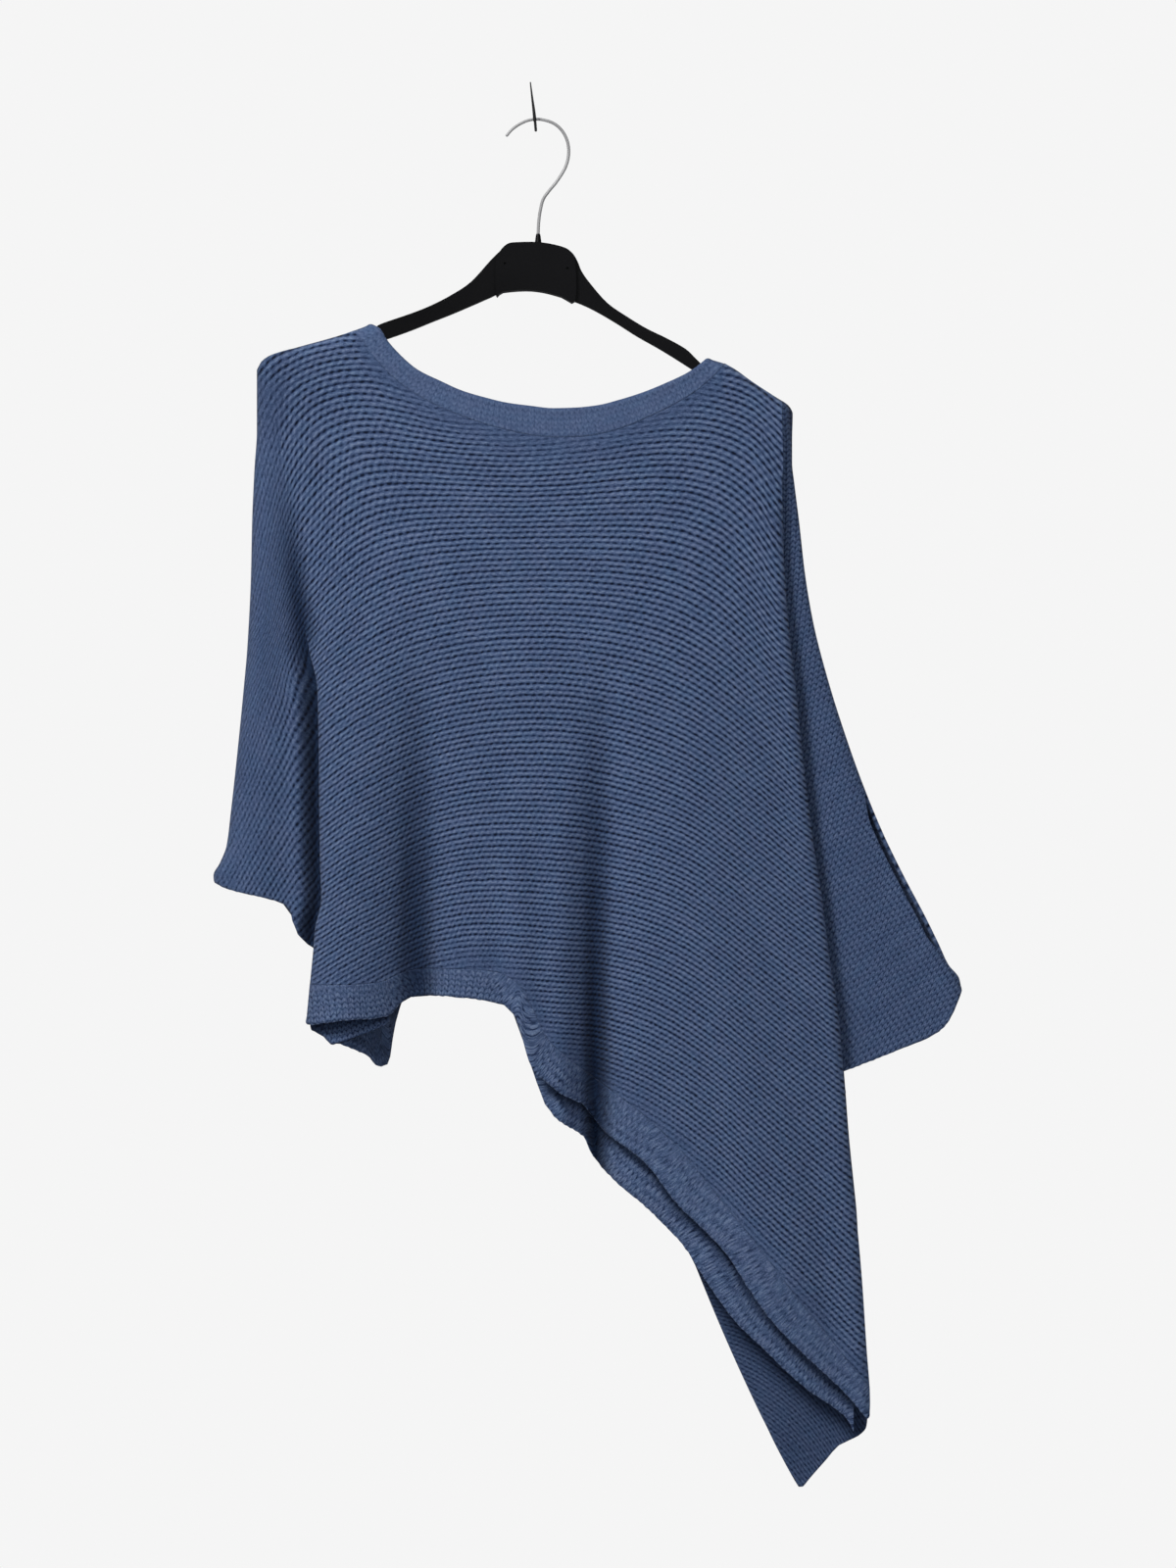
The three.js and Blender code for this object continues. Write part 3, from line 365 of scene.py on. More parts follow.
def ripple(x, z):
    """The cloth's small unevenness, under a millimetre each way."""
    return (0.42 * np.sin(x / 37 + z / 71 + 0.4) + 0.34 * np.sin(x / 21 - z / 96 + 1.3)
            + 0.28 * np.sin(z / 33 + x / 150 + 2.1) + 0.22 * np.sin(x / 12.5 + z / 44 + 0.2)
            + 0.18 * np.sin(z / 17 - x / 60 + 4.0))


def shoulder(x):
    """Top edge of the cloth above any x. Over the neck it carries on upward."""
    x = np.asarray(x, float)
    left = np.where(x < -78.5, shoulder_left(x), -145 + (x + 78.5) * 0.6)
    right = np.where(x > 85.5, shoulder_right(x), -171.5 + (85.5 - x) * 0.6)
    return np.where(x < 0, left, right)


def over_shoulder(x, z):
    return turn((shoulder(x) - WALL / 2 - z) / TOP_ROUND)


def turned(plain, x, z, outward):
    return plain * over_shoulder(x, z) * turn((outward - WALL / 2) / SIDE_ROUND)


# --------------------------------------------- forward distance of each sheet
def front_forward(x, z):
    lip_l, hollow_l, lip_r, hollow_r = edge_left[0](z), edge_left[1](z), edge_right[0](z), edge_right[1](z)
    dl, dr = x - fold_left(z), fold_right(z) - x
    plain = forward_of[0](z) + folds(FOLDS["front"], x, z) + folds(FOLDS["creases"], x, z) + ripple(x, z)
    return (plain * over_shoulder(x, z)
            - hollow_l * np.exp(-((dl / 14) ** 2)) - hollow_r * np.exp(-((dr / 9) ** 2))
            - lip_l * (1 - turn(dl / LIP_ROUND)) - lip_r * (1 - turn(dr / LIP_ROUND)))


def left_sleeve_forward(x, z):
    near = x - fold_left(z)
    plain = (mix(forward_of[0](z), forward_of[1](z), smooth(-near / 30)) + folds(FOLDS["left"], x, z)
             + (folds(FOLDS["front"], x, z) + folds(FOLDS["creases"], x, z)) * smooth(1 + near / 40) + ripple(x, z))
    return (turned(plain, x, z, x - out_left(z)) - edge_left[1](z) * np.exp(-((near / 14) ** 2))
            - edge_left[2](z) * smooth((near + 20) / 18) * (1 + 0.35 * smooth((-440 - z) / 60))
            - 0.35 * smooth(near / 1.5 + 0.5))


def right_sleeve_forward(x, z):
    near = fold_right(z) - x
    plain = (mix(forward_of[2](z), forward_of[0](z), smooth((-285 - z) / -30) * smooth(1 + near / 6))
             + folds(FOLDS["right"], x, z) + ripple(x, z) - edge_right[1](z) * np.exp(-((near / 9) ** 2))
             - edge_right[2](z) * smooth((near + 12) / 12))
    return turned(plain, x, z, out_right(z) - x) - 0.35 * smooth(near / 1.5 + 0.5)


def back_forward(x, z):
    own = (forward_of[3](z) + folds(FOLDS["back"], x, z) - ripple(x + 90, z)) * over_shoulder(x, z)
    right = smooth((-690 - z) / 150) * smooth((x + 40) / 60)
    left = smooth((-650 - z) / 90) * smooth((-85 - x) / 40)
    return mix(mix(own, front_forward(x, z) - UNDER_GAP, right), front_forward(x, z) - 2 * UNDER_GAP, left)


def sleeve_back(inward, outward, side):
    def forward(x, z):
        own = (mix(forward_of[3](z) + folds(FOLDS["back"], x, z), forward_of[4](z), smooth(inward(x, z) / 34))
               - ripple(x + 90, z))
        return turned(own, x, z, outward(x, z)) + 0.35 * smooth(-inward(x, z) / 1.5 + 0.5)
    return forward


left_sleeve_back_forward = sleeve_back(lambda x, z: back_side_left(z) - x, lambda x, z: x - out_left(z), -1)
right_sleeve_back_forward = sleeve_back(lambda x, z: x - fold_right(z), lambda x, z: out_right(z) - x, 1)


def under_left_forward(x, z):
    return front_forward(np.maximum(x, fold_left(z) + 1), z) - UNDER_GAP


def flap_forward(x, z):
    return back_forward(np.minimum(x, fold_right(z)), np.maximum(z, -1110)) - UNDER_GAP


# ------------------------------------------------------- the rows of the knit
def wanted_slope(x, z):
    """The table's slope of a row at a point, in radians."""
    heights = np.array([r[0] for r in ROW_SLOPES][::-1], float)
    table = np.array([r[1:] for r in ROW_SLOPES][::-1], float)
    fx = np.interp(x, ROW_X, np.arange(len(ROW_X)))
    fz = np.interp(z, heights, np.arange(len(heights)))
    ix, iz = np.minimum(fx.astype(int), len(ROW_X) - 2), np.minimum(fz.astype(int), len(heights) - 2)
    tx, tz = fx - ix, fz - iz
    low = mix(table[iz, ix], table[iz, ix + 1], tx)
    return np.radians(mix(low, mix(table[iz + 1, ix], table[iz + 1, ix + 1], tx), tz))


def solve_near_diagonal(matrix, right, reach):
    """Solve a symmetric set of equations whose terms lie within reach of the diagonal."""
    n = len(right)
    for k in range(n - 1):
        end = min(n, k + reach + 1)
        factor = matrix[k + 1:end, k] / matrix[k, k]
        matrix[k + 1:end, k + 1:end] -= factor[:, None] * matrix[k, k + 1:end]
        right[k + 1:end] -= factor * right[k]
    found = np.zeros(n)
    for k in range(n - 1, -1, -1):
        end = min(n, k + reach + 1)
        found[k] = (right[k] - matrix[k, k + 1:end] @ found[k + 1:end]) / matrix[k, k]
    return found


class RowField:
    """Row number and stitch number all over the front, worked out so that the
    rows run at the slopes in the table and are spaced as evenly as they can.
    firm and even give each point's weight for the slope and for the spacing,
    and pinned is an earlier field that this one carries on from."""

    def __init__(self, firm, even, pinned=None, pins=None, step=24.0, x0=-300.0, x1=396.0, z0=-1184.0, z1=-128.0):
        self.step, self.x0, self.z0 = step, x0, z0
        nx, nz = int(round((x1 - x0) / step)) + 1, int(round((z1 - z0) / step)) + 1
        cx, cz = np.meshgrid(x0 + step * (np.arange(nx - 1) + 0.5), z0 + step * (np.arange(nz - 1) + 0.5), indexing="ij")
        angle = wanted_slope(cx, cz).ravel()
        node = np.arange(nx * nz).reshape(nx, nz)
        a, b, c, d = node[:-1, :-1], node[1:, :-1], node[:-1, 1:], node[1:, 1:]
        corners = np.stack([m.ravel() for m in (a, b, c, d)], 1)
        gx, gz = np.array([-1, 1, -1, 1]) / (2 * step), np.array([-1, -1, 1, 1]) / (2 * step)
        ca, sa = np.cos(angle)[:, None], np.sin(angle)[:, None]
        along, down = gx * ca - gz * sa, -gx * sa - gz * ca
        calm = np.zeros((nx * nz, nx * nz))
        bend = np.array([1.0, -2.0, 1.0]) / step * 0.13
        for m in (np.stack([node[:-2], node[1:-1], node[2:]], -1).reshape(-1, 3),
                  np.stack([node[:, :-2], node[:, 1:-1], node[:, 2:]], -1).reshape(-1, 3)):
            np.add.at(calm, (m[:, :, None], m[:, None, :]), (bend[:, None] * bend)[None])
        wf, we = firm(cx, cz).ravel(), even(cx, cz).ravel()
        px, pz = np.meshgrid(x0 + step * np.arange(nx), z0 + step * np.arange(nz), indexing="ij")
        hold = np.zeros(nx * nz) if pins is None else pins(px, pz).ravel() * 0.02
        self.grids = []
        for which, (w_line, w_step, line, across) in enumerate(((wf, we, along, down), (we * 0.7, wf, down, along))):
            pitch = row_pitch(cz.ravel()) if which == 0 else stitch_pitch(cz.ravel())
            p, q = line * w_line[:, None], across * w_step[:, None]
            matrix, right = calm + 1e-9 * np.eye(nx * nz), np.zeros(nx * nz)
            np.add.at(matrix, (corners[:, :, None], corners[:, None, :]), p[:, :, None] * p[:, None] + q[:, :, None] * q[:, None])
            np.add.at(right, corners, q * (w_step / pitch)[:, None])
            if pinned is not None:
                matrix[np.arange(nx * nz), np.arange(nx * nz)] += hold
                right = right + hold * pinned.grids[which].ravel()
            self.grids.append(solve_near_diagonal(matrix, right, 2 * nz + 1).reshape(nx, nz))
        if pinned is None:
            self.grids[0] -= math.floor(self.grids[0].min())

    def _at(self, grid, x, z):
        def weights(t):
            return (-0.5 * t + t**2 - 0.5 * t**3, 1 - 2.5 * t**2 + 1.5 * t**3,
                    0.5 * t + 2 * t**2 - 1.5 * t**3, -0.5 * t**2 + 0.5 * t**3)
        fx, fz = (x - self.x0) / self.step, (z - self.z0) / self.step
        ix = np.clip(np.floor(fx).astype(int), 1, grid.shape[0] - 3)
        iz = np.clip(np.floor(fz).astype(int), 1, grid.shape[1] - 3)
        wx, wz = weights(fx - ix), weights(fz - iz)
        total = 0.0
        for p in range(4):
            for q in range(4):
                total = total + wx[p] * wz[q] * grid[ix + p - 1, iz + q - 1]
        return total

    def __call__(self, x, z):
        return self._at(self.grids[1], x, z), self._at(self.grids[0], x, z)


def row_pitch(z):
    return mix(ROW_PITCH_TOP, ROW_PITCH_LOW, smooth((-330 - z) / 380))


def stitch_pitch(z):
    return mix(STITCH_TOP, STITCH_LOW, smooth((-330 - z) / 380))


def on_body(x, z):
    inner = smooth((x - fold_left(z) + 14) / 22) * smooth((fold_right(z) + 8 - x) / 22)
    top = np.where((x > -140) & (x < 150), band_lower(x), shoulder(x))
    return inner * smooth((top + 30 - z) / 24) * smooth((z - hem_front(x) + 40) / 30)


def on_sleeve(x, z):
    return smooth((fold_left(z) + 26 - x) / 20) * smooth((x - out_left(z) + 40) / 30) * (z > -720)


def cap(z):
    return smooth((z + 436) / 30)


body_field = RowField(lambda x, z: np.maximum(1.25 * on_body(x, z), 0.9 * on_sleeve(x, z) * cap(z)) + 0.01,
                      lambda x, z: np.maximum(on_body(x, z), 0.22 * on_sleeve(x, z) * cap(z)) + 0.004)
sleeve_field = RowField(lambda x, z: 1.2 * on_sleeve(x, z) + 0.01, lambda x, z: 0.32 * on_sleeve(x, z) + 0.004,
                        pinned=body_field, pins=lambda x, z: smooth((z + 448) / 24) * smooth((x - fold_left(z) + 60) / 30))


def ridge_relief(u, v):
    """Height of the ridged side at stitch u, row v: a line at each whole row."""
    return 0.5 * np.cos(2 * np.pi * (v + 0.5))


def face_relief(u, v):
    """Height of the smooth side: a shallow gap between columns of stitches."""
    s = np.abs((u % 1.0) - 0.5) * 2
    return 0.10 - 0.38 * np.exp(-(((1 - s) / 0.35) ** 2))


# --------------------------------------------------------- making the sheets
def quarter(n, size):
    """Distances from an edge over which the cloth turns, in equal angles."""
    return [size * (1 - math.cos(math.pi / 2 * k / n)) for k in range(n)]


RIM = [0.0, 0.22, 0.7, 1.4, 2.3]      # distances from a free edge, for its rounding


def span(n, start=(), end=(), shares=None):
    """Stations between two ends: (share of the way, millimetres more). start
    and end list distances from that end, for where it turns or is rounded."""
    s0 = (start[-1] + (start[-1] - start[-2])) if len(start) > 1 else (start[0] if start else 0.0)
    s1 = (end[-1] + (end[-1] - end[-2])) if len(end) > 1 else (end[0] if end else 0.0)
    list_ = [(0.0, d) for d in start]
    for k in range(n + 1):
        t = k / n
        list_.append((t, s0 * (1 - t) - s1 * t))
    list_ += [(1.0, -d) for d in reversed(end)]
    return np.array([a for a, _ in list_]), np.array([b for _, b in list_])


def meet(w, o, left, right, line):
    """Heights where columns that lean with the sides meet a top or bottom line."""
    high, low = np.full(len(w), -100.0), np.full(len(w), -1200.0)
    for _ in range(46):
        z = (high + low) / 2
        above = z > line(mix(left(z), right(z), w) + o)
        high, low = np.where(above, z, high), np.where(above, low, z)
    return (high + low) / 2


def columns_to_points(w, o, left, right, lines, rows):
    """Points x, z of a sheet, in columns. lines are the lines across it from
    the top down, and rows the stations between each pair of them."""
    heights = [meet(w, o, left, right, line) for line in lines]
    parts, splits, at = [], [0], 0
    for k, (rw, ro) in enumerate(rows):
        a, b = heights[k][:, None], heights[k + 1][:, None]
        size = (a - b)
        extent = np.minimum(1.0, size / (np.abs(ro).max() * 2 + 1e-9)) if np.abs(ro).max() > 0 else 1.0
        z = a + (b - a) * rw[None, :] - ro[None, :] * extent
        if k:
            z = z[:, 1:]
        parts.append(z)
        at += z.shape[1]
        splits.append(at - 1)
    z = np.concatenate(parts, 1)
    x = mix(left(z), right(z), w[:, None]) + o[:, None]
    return x, z, splits


def normals_of(forward, x, z, step=0.05):
    fx = (forward(x + step, z) - forward(x - step, z)) / (2 * step)
    fz = (forward(x, z + step) - forward(x, z - step)) / (2 * step)
    n = np.stack([-fx, -np.ones_like(fx), -fz], -1)
    return n / np.linalg.norm(n, axis=-1, keepdims=True)


def distances(p, side, ends):
    """Distance of each point from one side of the grid, along the grid."""
    if side == "left":
        return np.linalg.norm(p - p[:1], axis=-1)
    if side == "right":
        return np.linalg.norm(p - p[-1:], axis=-1)
    across = np.gradient(p[:, 0 if side == "top" else -1], axis=0)
    across /= np.linalg.norm(across, axis=-1, keepdims=True) + 1e-9
    d = p - (p[:, :1] if side == "top" else p[:, -1:])
    along = np.sum(d * across[:, None], -1, keepdims=True) * across[:, None]
    return np.linalg.norm(d - along, axis=-1)


def in_folds(forward, x, z, side, reach=26.0):
    """How far a point lies below the cloth at its left and right, in mm."""
    around = sum(forward(x + k * reach, z) for k in (-1, -0.5, 0.5, 1)) / 4
    return np.maximum(0, (around - forward(x, z)) * side)


PIECES = {}


def shell(name, x, z, forward, side, uv, relief, edges, coarse=4, replaces=(), inner=1.5,
          bead=0.45, extra=None, crisp=1.0, shade=1.0,
          inner_shade=1.0):
    """A closed wall of cloth on a grid of x, z. side is 1 where the outer face
    looks forward and -1 where it looks back. edges says for left, right, top
    and bottom whether that side is free, with a rounded rim, or a seam. crisp
    is how clear the stitches are at each point. shade is a painted shade: a
    factor that darkens the yarn's colour, multiplied here by a painted
    darkening deep in the folds; inner_shade is the same for the inner face."""
    f = forward(x, z)
    if extra is not None:
        f = f + extra
    mid = np.stack([x, HANGER_Y - f, z], -1)
    out = normals_of(forward, x, z) * side
    u, v = uv
    lift = relief(u, v) * RIDGE_RISE * crisp
    outer, within = np.full(x.shape, WALL / 2), np.full(x.shape, inner)
    for where, kind in edges.items():
        d = distances(mid, where, None)
        if kind == "free":
            r = np.sqrt(np.maximum(0, 1 - (1 - clamp01(d / 2.0)) ** 2))
            outer, within = outer * r + 0.12, within * r + 0.12
            outer = outer + bead * np.exp(-(((d - 3.0) / 2.0) ** 2))
            lift = lift * smooth(d / 2.0)
        elif kind == "seam":
            lift = lift * smooth(d / 3.0)
    top = mid + out * (outer + lift)[..., None]
    back = mid - out * within[..., None]
    nu, nv = x.shape
    ii = np.unique(np.concatenate([np.arange(0, nu, coarse), [nu - 1]]))
    jj = np.unique(np.concatenate([np.arange(0, nv, coarse), [nv - 1]]))
    back = back[np.ix_(ii, jj)]
    verts = np.concatenate([top.reshape(-1, 3), back.reshape(-1, 3)])
    index = np.arange(nu * nv).reshape(nu, nv)
    inside = nu * nv + np.arange(len(ii) * len(jj)).reshape(len(ii), len(jj))

    def quads(g, flip):
        q = np.stack([g[:-1, :-1], g[:-1, 1:], g[1:, 1:], g[1:, :-1]], -1).reshape(-1, 4)
        return q[:, ::-1] if flip else q
    faces = quads(index, side < 0).tolist() + quads(inside, side > 0).tolist()
    inner_start = (nu - 1) * (nv - 1)
    rim = []
    sides = [(index[0, :], jj, inside[0, :], 1), (index[:, -1], ii, inside[:, -1], 1),
             (index[-1, :], jj, inside[-1, :], -1), (index[:, 0], ii, inside[:, 0], -1)]
    for line, marks, inner_line, sense in sides:
        for k in range(len(marks) - 1):
            a, b = marks[k], marks[k + 1]
            fan = [[inner_line[k], line[m + 1], line[m]] for m in range(a, b)] + [[inner_line[k], inner_line[k + 1], line[b]]]
            for t in fan:
                rim.append([int(q) for q in (t if sense * side > 0 else t[::-1])])
    faces += rim
    mesh = bpy.data.meshes.new(name + "_knit")
    mesh.from_pydata((verts * MM).tolist(), [], faces)
    knit = mesh.attributes.new("knit", "FLOAT_VECTOR", "POINT")
    uvw = np.zeros((len(verts), 3), np.float32)
    uvw[: nu * nv, 0], uvw[: nu * nv, 1] = u.ravel(), v.ravel()
    ub, vb = u[np.ix_(ii, jj)].ravel(), v[np.ix_(ii, jj)].ravel()
    uvw[nu * nv:, 0], uvw[nu * nv:, 1], uvw[nu * nv:, 2] = ub, vb, 0.8
    uvw[: nu * nv, 2] = np.broadcast_to(crisp, x.shape).ravel()
    knit.data.foreach_set("vector", uvw.ravel())
    # Painted shade per point: darker deep in the folds, found from in_folds, times the shade factors given; the
    # material multiplies the yarn's colour by it.
    painted_shade_attribute = mesh.attributes.new("shade", "FLOAT", "POINT")
    deep = np.ones(len(verts), np.float32)
    deep[: nu * nv] = (np.exp(-((in_folds(forward, x, z, side) / 11.0) ** 1.35)) * shade).ravel()
    deep[nu * nv:] = (np.exp(-((in_folds(forward, x, z, -side) / 11.0) ** 1.35)) * inner_shade)[np.ix_(ii, jj)].ravel()
    painted_shade_attribute.data.foreach_set("value", deep)
    obj = bpy.data.objects.new(name + "_knit", mesh)
    bpy.context.scene.collection.objects.link(obj)
    for p in mesh.polygons:
        p.use_smooth = True
    e1, e2 = mid[1:, 1:] - mid[:-1, :-1], mid[:-1, 1:] - mid[1:, :-1]
    area = 0.5 * np.linalg.norm(np.cross(e1, e2), axis=-1).sum() * 1e-6
    PIECES[name] = {"object": obj, "outer_faces": inner_start, "inner_faces": (len(ii) - 1) * (len(jj) - 1),
                    "area": float(area), "faces": len(faces)}
    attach(obj, "root")
    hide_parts(*replaces)
    return obj


def along_line(line, xs):
    """Length along a line from the front, and its smoothed slope, at each x."""
    step = 1.0
    grid = np.arange(-320, 400, step)
    z = line(grid)
    slope = np.gradient(z, step)
    kernel = np.exp(-((np.arange(-40, 41) / 16.0) ** 2))
    calm = np.convolve(np.pad(slope, 40, mode="edge"), kernel / kernel.sum(), mode="valid")
    calm_z = z[0] + np.cumsum(calm) * step
    length = np.concatenate([[0], np.cumsum(np.hypot(step, np.diff(calm_z)))])
    return np.interp(xs, grid, length), np.interp(xs, grid, calm)


def band_uv(line, x, z, width=FACE_WIDTH, height=FACE_HEIGHT):
    """Stitch numbers of a band whose rows follow its edge."""
    _, m = along_line(line, x)
    foot = x + m * (z - line(x)) / (1 + m * m)
    s, m2 = along_line(line, foot)
    return s / width, (z - line(foot)) / np.sqrt(1 + m * m) / height


def scalloped(line, size=0.55, pitch=6.2):
    """A cut edge that follows the loops of its last row."""
    def f(x):
        s, m = along_line(line, x)
        return line(x) + size * np.sqrt(1 + m * m) * (np.sin(2 * np.pi * s / pitch) + 0.5 * np.sin(2 * np.pi * s / 15.7 + 1.0))
    return f


# ------------------------------------------------------------------ the front
half = WALL / 2


def neck_top(line, tuck):
    """Top of a body: the shoulders, and under the neck band in between."""
    def f(x):
        x = np.asarray(x, float)
        return np.where((x < -150) | (x > 158.5), shoulder(x) - half, np.minimum(band_lower(x) + tuck, shoulder(x) - half))
    return f


def front_body_left(z):
    return fold_left(z) + mix(0.0, half, clamp01(edge_left[0](z) / 1.5))


def front_body_right(z):
    corner = 5.0 * (1 - np.sqrt(1 - clamp01((-1070 - np.asarray(z, float)) / 20) ** 2 * 0.96))
    return fold_right(z) - mix(0.0, half, clamp01(edge_right[0](z) / 1.5)) - corner


def under_band(x, z):
    """Where the body runs under the neck band it lies a little lower."""
    return smooth((z - band_lower(x) + 0.6) / 1.2) * ((x > -152) & (x < 160))


LIP = quarter(6, LIP_ROUND)
TOP = quarter(7, TOP_ROUND)
w, o = span(214, LIP, LIP)
x, z, cut = columns_to_points(w, o, front_body_left, front_body_right,
                              [neck_top(band_lower, 1.6), hem_front_band, scalloped(hem_front, 0.35)],
                              [span(392, TOP), span(16, (), RIM)])
u, v = body_field(x, z)
bu, bv = band_uv(hem_front, x, z)


def crispness(x, z):
    """The rows fade out towards the bands and over the shoulders' outer ends."""
    below_neck = np.where((x > -150) & (x < 158), band_lower(x) - z, 60)
    above_hem = (z - hem_front_band(x)) * 0.75
    return (mix(0.30, 1.0, smooth((below_neck + 2) / 34)) * mix(mix(0.75, 0.35, smooth((x + 90) / 40)), 1.0, smooth((above_hem + 2) / 26))
            * mix(0.6, 1.0, smooth((x - fold_left(z)) / 40 + 0.6)))


def painted_shade_by_left_fold(x, z):
    """Painted shade: a dark strip along the hollow between the body and the left sleeve, where shadow falls, deeper
    further down.
    """
    deep = smooth((-275 - z) / 150)
    return 1 - 0.84 * deep * np.exp(-(((x - fold_left(z) + 3) / 9.5) ** 2))


def painted_shade_in_long_folds(x, z):
    """Painted shade: darker along the two long hollows of the front, more so further down, and a little darker over the
    left shoulder.
    """
    def beside(at, wide, top, run, much):
        return 1 - much * smooth((top - z) / run) * np.exp(-(((x - at) / wide) ** 2))
    left = beside(-92 - 8 * smooth((-560 - z) / 120), 15, -470, 200, 0.42)
    right = beside(53, 10, -520, 240, 0.30)
    return left * right * mix(0.86, 1.0, smooth((x + 215) / 60 + smooth((-230 - z) / 60)))


k = cut[1] + 1
# Painted shade on the front body: in its long hollows, over the left shoulder, and along the hollow by the left fold
# above z = -425.
shell("front_body", x[:, :k], z[:, :k], front_forward, 1, (u[:, :k], v[:, :k]), ridge_relief,
      {"left": "seam", "right": "seam", "top": "seam"}, replaces=["front_body"],
      extra=-0.25 * under_band(x[:, :k], z[:, :k]), crisp=crispness(x[:, :k], z[:, :k]),
      shade=painted_shade_in_long_folds(x[:, :k], z[:, :k]) * mix(painted_shade_by_left_fold(x[:, :k], z[:, :k]), 1.0, smooth((-425 - z[:, :k]) / 20)))
k -= 1
# Painted shade on the hem band, the same as in the front's long hollows.
shell("front_hem_band", x[:, k:], z[:, k:], front_forward, 1, (bu[:, k:], bv[:, k:]), face_relief,
      {"left": "seam", "right": "seam", "bottom": "free"}, replaces=["front_hem_band"],
      crisp=mix(0.5, 1.0, smooth((hem_front_band(x[:, k:]) - z[:, k:]) / 16)) * mix(1.0, 0.62, smooth((x[:, k:] - 10) / 60)), shade=painted_shade_in_long_folds(x[:, k:], z[:, k:]))


def neck_grid(n, across):
    """The neck band's points: n along it, and given shares across it."""
    rows = np.array(NECK_BAND, float)
    at = np.arange(len(rows), dtype=float)
    curves = [through(np.stack([at, rows[:, c]], 1).tolist()) for c in range(4)]
    fine = np.linspace(0, len(rows) - 1, 2000)
    cx, cz = curves[0](fine), curves[1](fine)
    length = np.concatenate([[0], np.cumsum(np.hypot(np.diff(cx), np.diff(cz)))])
    s = np.linspace(0, length[-1], n)
    t = np.interp(s, length, fine)
    xe, ze, xl, zl = (c(t)[:, None] for c in curves)
    wide = np.hypot(xl - xe, zl - ze)
    share = np.concatenate([np.minimum(np.array(RIM) / wide, 0.4), np.repeat(np.linspace(0.42, 1, across)[None], n, 0)], 1)
    first = np.minimum(RIM[-1] / wide, 0.4)
    body = first + (1 - first) * np.linspace(0, 1, across + 1)[None, 1:]
    share = np.concatenate([np.minimum(np.array(RIM)[None] / wide, 0.4), body], 1)
    return mix(xe, xl, share), mix(ze, zl, share), s[:, None] / FACE_WIDTH + 0 * share, wide * share / FACE_HEIGHT


def neck_band(name, forward, side, mesh_side):
    nx, nz, nu_, nv_ = neck_grid(250, 13)
    shell(name, nx, nz, forward, side, (nu_, nv_), face_relief,
          {"top": "free", "left": "seam", "right": "seam"}, replaces=[name], bead=0.6, crisp=0.5)


neck_band("front_neck_band", front_forward, 1, 1)


# ---------------------------------------------------------------- the sleeves
def sleeve_tuck(fold, lip, run, sense):
    """Where a sleeve's inner edge runs: a little under the body's edge, and
    well behind it where the body's edge is folded."""
    def f(z):
        behind = smooth((lip(z) - 0.5) / 8)
        return fold(z) + sense * mix(2.2, np.maximum(run(z), 4.0), behind)
    return f


SIDE = quarter(6, SIDE_ROUND)
w, o = span(44, SIDE)
x, z, cut = columns_to_points(w, o, lambda q: out_left(q) + half, sleeve_tuck(fold_left, edge_left[0], edge_left[3], 1),
                              [lambda q: shoulder(q) - half, scalloped(cuff_left, 0.22)], [span(250, TOP, RIM)])
# Painted shade on the sleeve: darker towards its top at the shoulder, along the hollow by the body's left fold, and,
# lower down, strongly darker into the groove under the body's edge.
shell("left_sleeve_front", x, z, left_sleeve_forward, 1, sleeve_field(x, z), ridge_relief,
      {"left": "seam", "top": "seam", "bottom": "free"}, replaces=["left_sleeve_front"],
      crisp=np.maximum(mix(0.35, 0.75, smooth((x - out_left(z)) / 50)), 1.05 * smooth((z + 232) / 24)),
      shade=mix(0.80, 1.0, smooth((-205 - z) / 120)) * np.minimum(painted_shade_by_left_fold(x, z), mix(1.0, mix(0.15, 1.0, smooth((fold_left(z) - x) / 26)), smooth((-400 - z) / 50))))

w, o = span(34, SIDE)
x, z, cut = columns_to_points(w, o, lambda q: out_left(q) + half, lambda q: back_side_left(q) + 2.2,
                              [lambda q: shoulder(q) - half, lambda q: scalloped(cuff_left, 0.22)(q) - 0.6], [span(210, TOP, RIM)])
shell("left_sleeve_back", x, z, left_sleeve_back_forward, -1, sleeve_field(x, z), ridge_relief,
      {"left": "seam", "top": "seam", "bottom": "free"}, replaces=["left_sleeve_back"],
      crisp=mix(0.35, 0.8, smooth((x - out_left(z)) / 50)))


def slanted_uv(x, z, degrees, bend=0.0, width=FACE_WIDTH, height=FACE_HEIGHT):
    """Stitch numbers of the smooth side where its rows slope down to the right
    by that much, bending with height."""
    a = math.radians(degrees)
    s = x * math.cos(a) - z * math.sin(a)
    t = x * math.sin(a) + z * math.cos(a)
    return (s + bend * (t / 100) ** 2) / width, (t + bend * (s / 100) ** 2) / height


def right_inner(z):
    behind = smooth((edge_right[0](z) - 0.5) / 8)
    return fold_right(z) - mix(2.2, np.maximum(edge_right[3](z), 4.0), behind)


def right_outer(z):
    return out_right(z) - half - 6.5 * smooth((-552 - z) / 40) * smooth((z + 705) / 24)


w, o = span(70, (), quarter(5, 8.0))
x, z, cut = columns_to_points(w, o, right_inner, right_outer,
                              [lambda q: shoulder(q) - half, scalloped(cuff_right, 0.22)], [span(300, TOP, RIM)])
shell("right_sleeve_front", x, z, right_sleeve_forward, 1, slanted_uv(x, z, -24, 6), face_relief,
      {"right": "seam", "top": "seam", "bottom": "free"}, replaces=["right_sleeve_front"])

